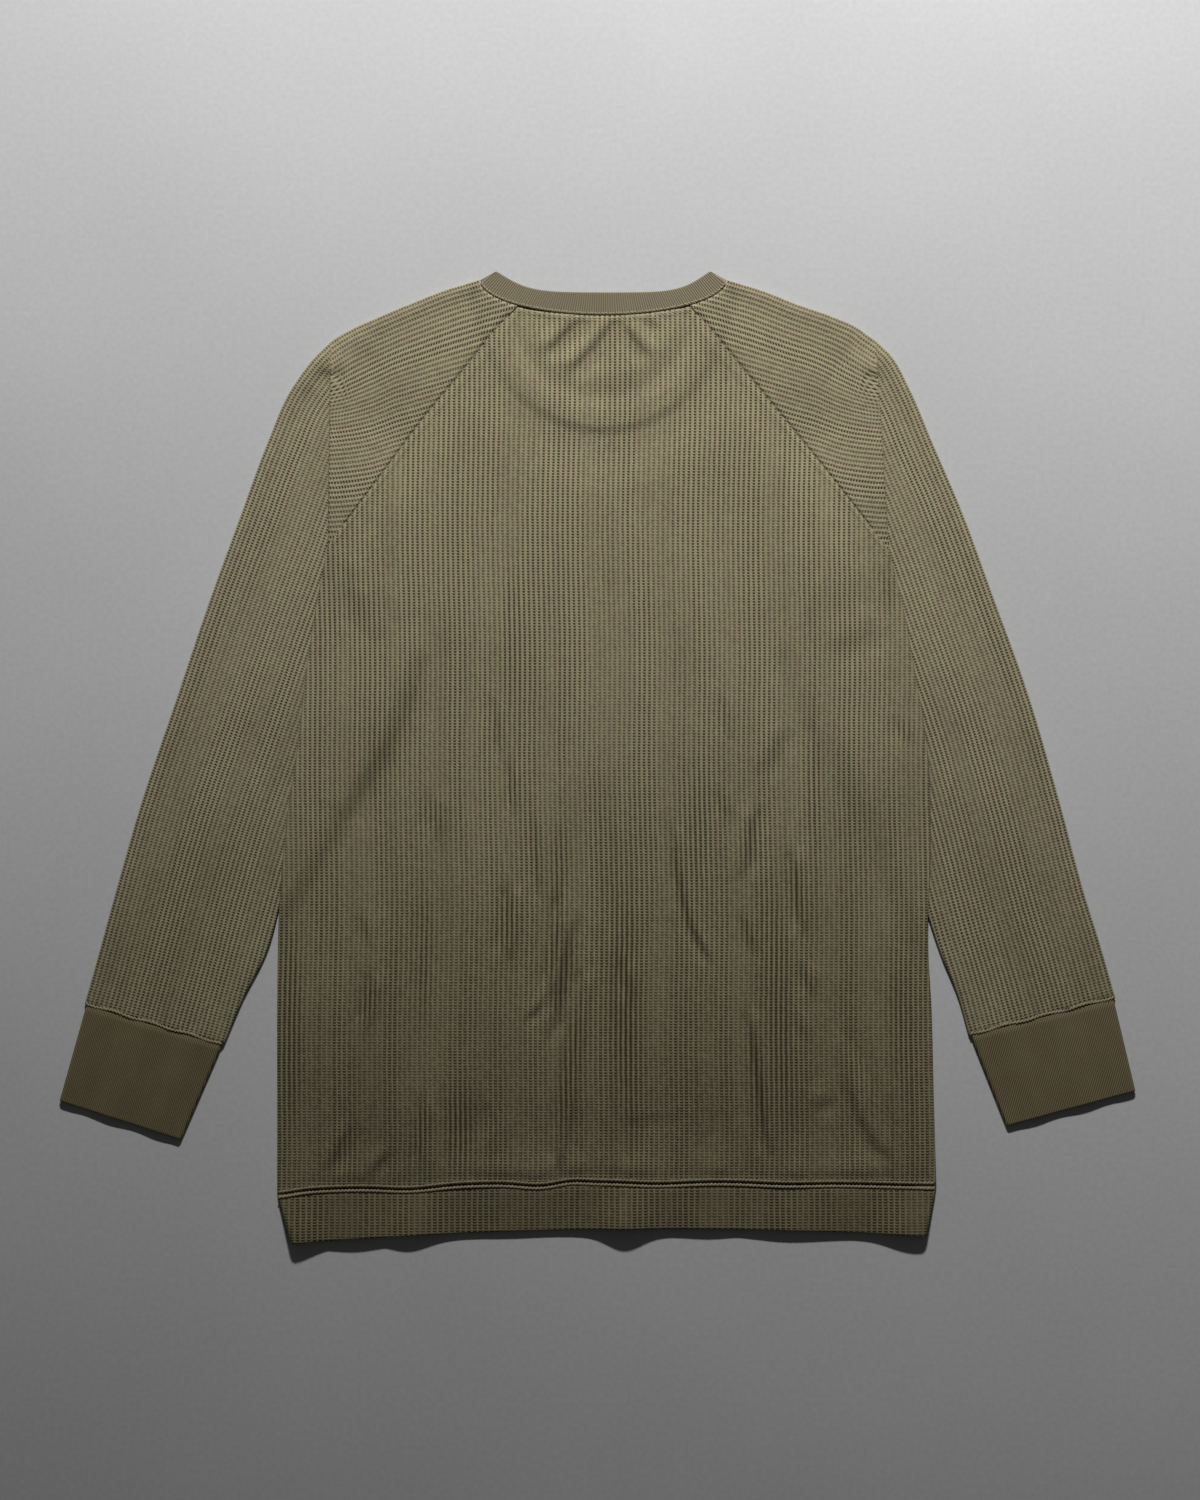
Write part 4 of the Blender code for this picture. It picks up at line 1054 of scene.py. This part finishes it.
NECK_EDGE_CENTRE = (0.0045, 0.389)
NECK_EDGE_RADIUS = 0.0860
NECK_EDGE_BACK_DROP = 0.0168
NECK_EDGE_FRONT_DROP = 0.1020
NECK_EDGE_TURN = {"left": 0.020, "right": 0.018}
NECK_SEAM_GAP = 0.0005
BAND_SINK = 0.6 * NECK_SINK

neck_rib = rib_finish(
    "fine rib, neck", (0.300, 0.257, 0.164), (0.080, 0.068, 0.042),
    rib=0.0018, course=0.0014, relief=0.0004, depth=0.50,
)


def neck_points(turn, edge):
    """Points round the neck band's free edge, or round its seam, at no height."""
    across, depth = np.cos(turn), np.abs(np.sin(turn))
    back = np.sin(turn) > 0
    if edge:
        (x, y), radius = NECK_EDGE_CENTRE, NECK_EDGE_RADIUS
        drops = (NECK_EDGE_BACK_DROP, NECK_EDGE_FRONT_DROP)
        dipped = 1.0
        for side, from_side in (("left", radius * (1 + across)), ("right", radius * (1 - across))):
            dipped = dipped * (1 - np.exp(-((from_side / NECK_EDGE_TURN[side]) ** 1.3)))
        depth = np.where(back, dipped, depth)
    else:
        (x, y), radius = NECK_CENTRE, NECK_RADIUS - NECK_SEAM_GAP
        drops = (NECK_BACK_DROP - NECK_SEAM_GAP, NECK_FRONT_DROP - NECK_SEAM_GAP)
    return joined(x + radius * across, y - np.where(back, *drops) * depth, 0.0)


stand = (RIB + SEAM) / 2
level = RIB + SEAM / 2
first = math.radians(6)
seams, edges, facings = [], [], []
for half in (1, -1):
    turns = np.linspace(first, math.pi - first, 110)
    turns = turns if half == 1 else turns - math.pi
    sink = BAND_SINK * np.sin(turns) ** 2 * (half == 1)
    base = joined(0, 0, level - sink)
    seams.append(neck_points(turns, False) + base)
    edges.append(neck_points(turns, True) + base)
    facings.append(np.tile((0.0, 0.0, half), (len(turns), 1)))
    fold = np.array([math.pi if half == 1 else 0.0])
    seam_point = neck_points(fold, False)[0] + (0, 0, level)
    edge_point = neck_points(fold, True)[0] + (0, 0, level)
    lean = (edge_point - seam_point) / lengths(edge_point - seam_point)
    outward = np.array((-lean[1], lean[0], 0))
    outward = outward * (-1 if outward[1] < 0 else 1)
    for turn in np.radians((68, 45, 22, 0, -22, -45, -68)) * half:
        seams.append((seam_point - outward * (stand + RIB / 2))[None])
        edges.append((edge_point - outward * (stand + RIB / 2))[None])
        facings.append((outward * math.cos(turn) + np.array((0, 0, math.sin(turn))))[None])
seams, edges, facings = (np.vstack(part + [part[0][:1]]) for part in (seams, edges, facings))
width = lengths(edges - seams)
across = spread(width, np.array((0, 0.4, 1.0, 2.0)) / 1000, 8)
share = (across / width[:, None])[:, :, None]
half_wall = RIB / 2 * (0.45 + 0.55 * rounded(from_edge(across, width), RIB / 2) / (RIB / 2))
wall = facings[:, None] * half_wall[:, :, None]
centre = mix(seams[:, None], edges[:, None], share) + facings[:, None] * stand
outer, inner = centre + wall, centre - wall
knit = joined(run_along((seams + edges) / 2 + facings * stand)[:, None], across)
grid = np.concatenate((outer, inner[:, ::-1], outer[:, :1]), axis=1)
knit_grid = np.concatenate((knit, knit[:, ::-1], knit[:, :1]), axis=1)
neck_band = cloth("neck_band_rib", [(grid, knit_grid)], 0)
rework(neck_band.data, face_out)
dress(neck_band, neck_rib, "neck_band")

# ---- Sewing ----
# The seams at the hem, the cuffs and the neck are covered on the outside with
# slanted stitches of cotton thread, which stand up as a twisted cord.

STITCH_PITCH = 0.0029
STITCH_FLAT = 0.75


def thread_surface(tree):
    place = signal(tree, "ShaderNodeTexCoord", {}, "Object")
    grain = speckle(place, (1, 1, 1), 900.0)
    return place, grain * 0.55, grain


rope_thread = cotton_finish(
    "cotton thread", (0.36, 0.315, 0.198), (0.08, 0.068, 0.039), 0.0001, thread_surface
)


def stitches(name, paths, length, radius, slant):
    """Slanted stitches along paths of (x, y, z), each a small rounded rod."""
    sides = np.radians(np.arange(6) * 60)[:, None]
    rings = ((-0.5, 0.35), (-0.32, 1.0), (0.32, 1.0), (0.5, 0.35))
    points, faces, first = [], [], 0
    for path in paths:
        place = run_along(path)
        spots = np.arange(STITCH_PITCH / 2, place[-1], STITCH_PITCH)
        centres, ahead, behind = (
            joined(*(np.interp(spots + shift, place, column) for column in path.T))
            for shift in (0, 0.002, -0.002)
        )
        for number, (centre, direction) in enumerate(zip(centres, ahead - behind)):
            turn = math.atan2(direction[1], direction[0]) + slant + 0.10 * math.sin(number * 2.4)
            rod = np.array((math.cos(turn), math.sin(turn), 0))
            level = np.array((-rod[1], rod[0], 0))
            spoke = np.cos(sides) * level + np.sin(sides) * np.array((0, 0, STITCH_FLAT))
            size = radius * (1 + 0.12 * math.sin(number * 1.7))
            for offset, share in rings:
                ring_points = centre + rod * offset * length + spoke * size * share
                ring_points[:, 2] = np.maximum(ring_points[:, 2], 0.00005)
                points.append(ring_points)
            for ring_number in range(3):
                for side in range(6):
                    a, b = first + ring_number * 6 + side, first + ring_number * 6 + (side + 1) % 6
                    faces.append((a, b, b + 6, a + 6))
            faces.append(tuple(first + 5 - side for side in range(6)))
            faces.append(tuple(first + 18 + side for side in range(6)))
            first += 24
    mesh = bpy.data.meshes.new(name)
    mesh.from_pydata(np.concatenate(points).tolist(), [], faces)
    rework(mesh, face_out)
    rope = placed(name, mesh)
    rope.data.materials.append(rope_thread)
    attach(rope, "root")
    return rope


xs = np.linspace(BODY[0][0] + 0.001, BODY[0][2] - 0.001, 200)
hem_line = hem_seam_y(xs)
rise = rounded(np.minimum(xs - xs[0], xs[-1] - xs) + 0.0008, 0.002) / 0.002
upper_y = hem_line + 0.0020
upper = joined(xs, upper_y, 0.0008 + (back_surface(xs, upper_y) - 0.0008) * rise)
middle = joined(xs, hem_line - 0.0022, 0.0026 + (HEM_HEIGHT - 0.0027) * rise)
lower = joined(xs, hem_line + 0.0012, 0.0012 - 0.0008 * rise)
hem_sewing = stitches(
    "hem_sewing", (upper, middle, lower), length=0.0036, radius=0.00105, slant=0.42
)

for side in ("left", "right"):
    seam = np.array(ARM[side][-1])
    share = np.linspace(0.008, 0.992, 60)
    line = mix(seam[:2], seam[2:], share[:, None])
    back = np.array(CUFF_EDGE[side][:2]) - seam[:2]
    back = back / lengths(back)
    line = line - back * 0.0012 + back * 0.0006 * np.sin(share * 23)[:, None]
    rise = rounded(np.minimum(share, 1 - share) * 0.115, 0.002) / 0.002
    heights = (0.0019 + 0.0020 * rise, 0.0016 - 0.0012 * rise)
    paths = [np.column_stack((line, height)) for height in heights]
    stitches(
        f"cuff_sewing_{side}", paths, length=0.0042, radius=0.00095, slant=0.5 * OUTWARD[side]
    )

turns = np.linspace(math.radians(8), math.pi - math.radians(8), 120)
line = neck_points(turns, False)
normal = joined(np.cos(turns) * 0.3, -1.0, 0.0)
normal = normal / lengths(normal)[:, None]
collar_side = line - normal * 0.0015
collar_side[:, 2] += level + stand + RIB / 2 - 0.0003 - BAND_SINK * np.sin(turns) ** 2
body_side = line + normal * 0.0025
body_side[:, 2] = back_surface(body_side[:, 0], body_side[:, 1]) - 0.0001
neck_sewing = stitches(
    "neck_sewing", (collar_side, body_side), length=0.0030, radius=0.00085, slant=-0.5
)

# ---- Studio ----
# The top lies on a plain matt surface. One wide soft light hangs three metres
# beyond its middle, facing down, so that it rakes across the knit from the neck
# end. The camera looks straight down.

floor_mesh = bpy.data.meshes.new("floor")
corners = [(x, y, -0.0003) for x, y in ((-9, -9), (9, -9), (9, 9), (-9, 9))]
floor_mesh.from_pydata(corners, [], [(0, 1, 2, 3)])
floor = placed("floor", floor_mesh)
floor_paint = bpy.data.materials.new("matt grey paint")
floor_paint.use_nodes = True
tree = floor_paint.node_tree
place = signal(tree, "ShaderNodeTexCoord", {}, "Object")
grain = speckle(place, (1, 1, 1), 260.0, 4.0)
cloud = speckle(place, (1, 1, 1), 5.0)
tone = (cloud - 0.5) * 0.06 + ((grain - 0.5) * 0.10 + 0.50)
fill(tree.nodes["Principled BSDF"], {
    "Base Color": signal(tree, "ShaderNodeCombineColor", dict.fromkeys(range(3), tone)),
    "Roughness": grain.step(0.3, 0.7, 0.75, 0.9),
    "Specular IOR Level": 0.3,
})
floor_mesh.materials.append(floor_paint)

lamp = bpy.data.lights.new("softbox", "AREA")
lamp.shape = "RECTANGLE"
lamp.size, lamp.size_y = 0.50, 0.40
lamp.energy = 302
lamp.spread = math.radians(134)
softbox = placed("softbox", lamp)
softbox.location = (0.05, 3.00, 2.11)
softbox.rotation_euler = (0, math.radians(-7), 0)

world = bpy.data.worlds.new("studio")
world.use_nodes = True
fill(world.node_tree.nodes["Background"], {"Color": (1, 1, 1, 1), "Strength": 0.040})
bpy.context.scene.world = world
bpy.context.scene.view_settings.view_transform = "Standard"

lens = bpy.data.cameras.new("camera")
lens.lens = 100
lens.sensor_width = 36
lens.clip_end = 20
camera = placed("camera", lens)
camera.location = (0.002, 0.0064, 3.3333)
bpy.context.scene.camera = camera
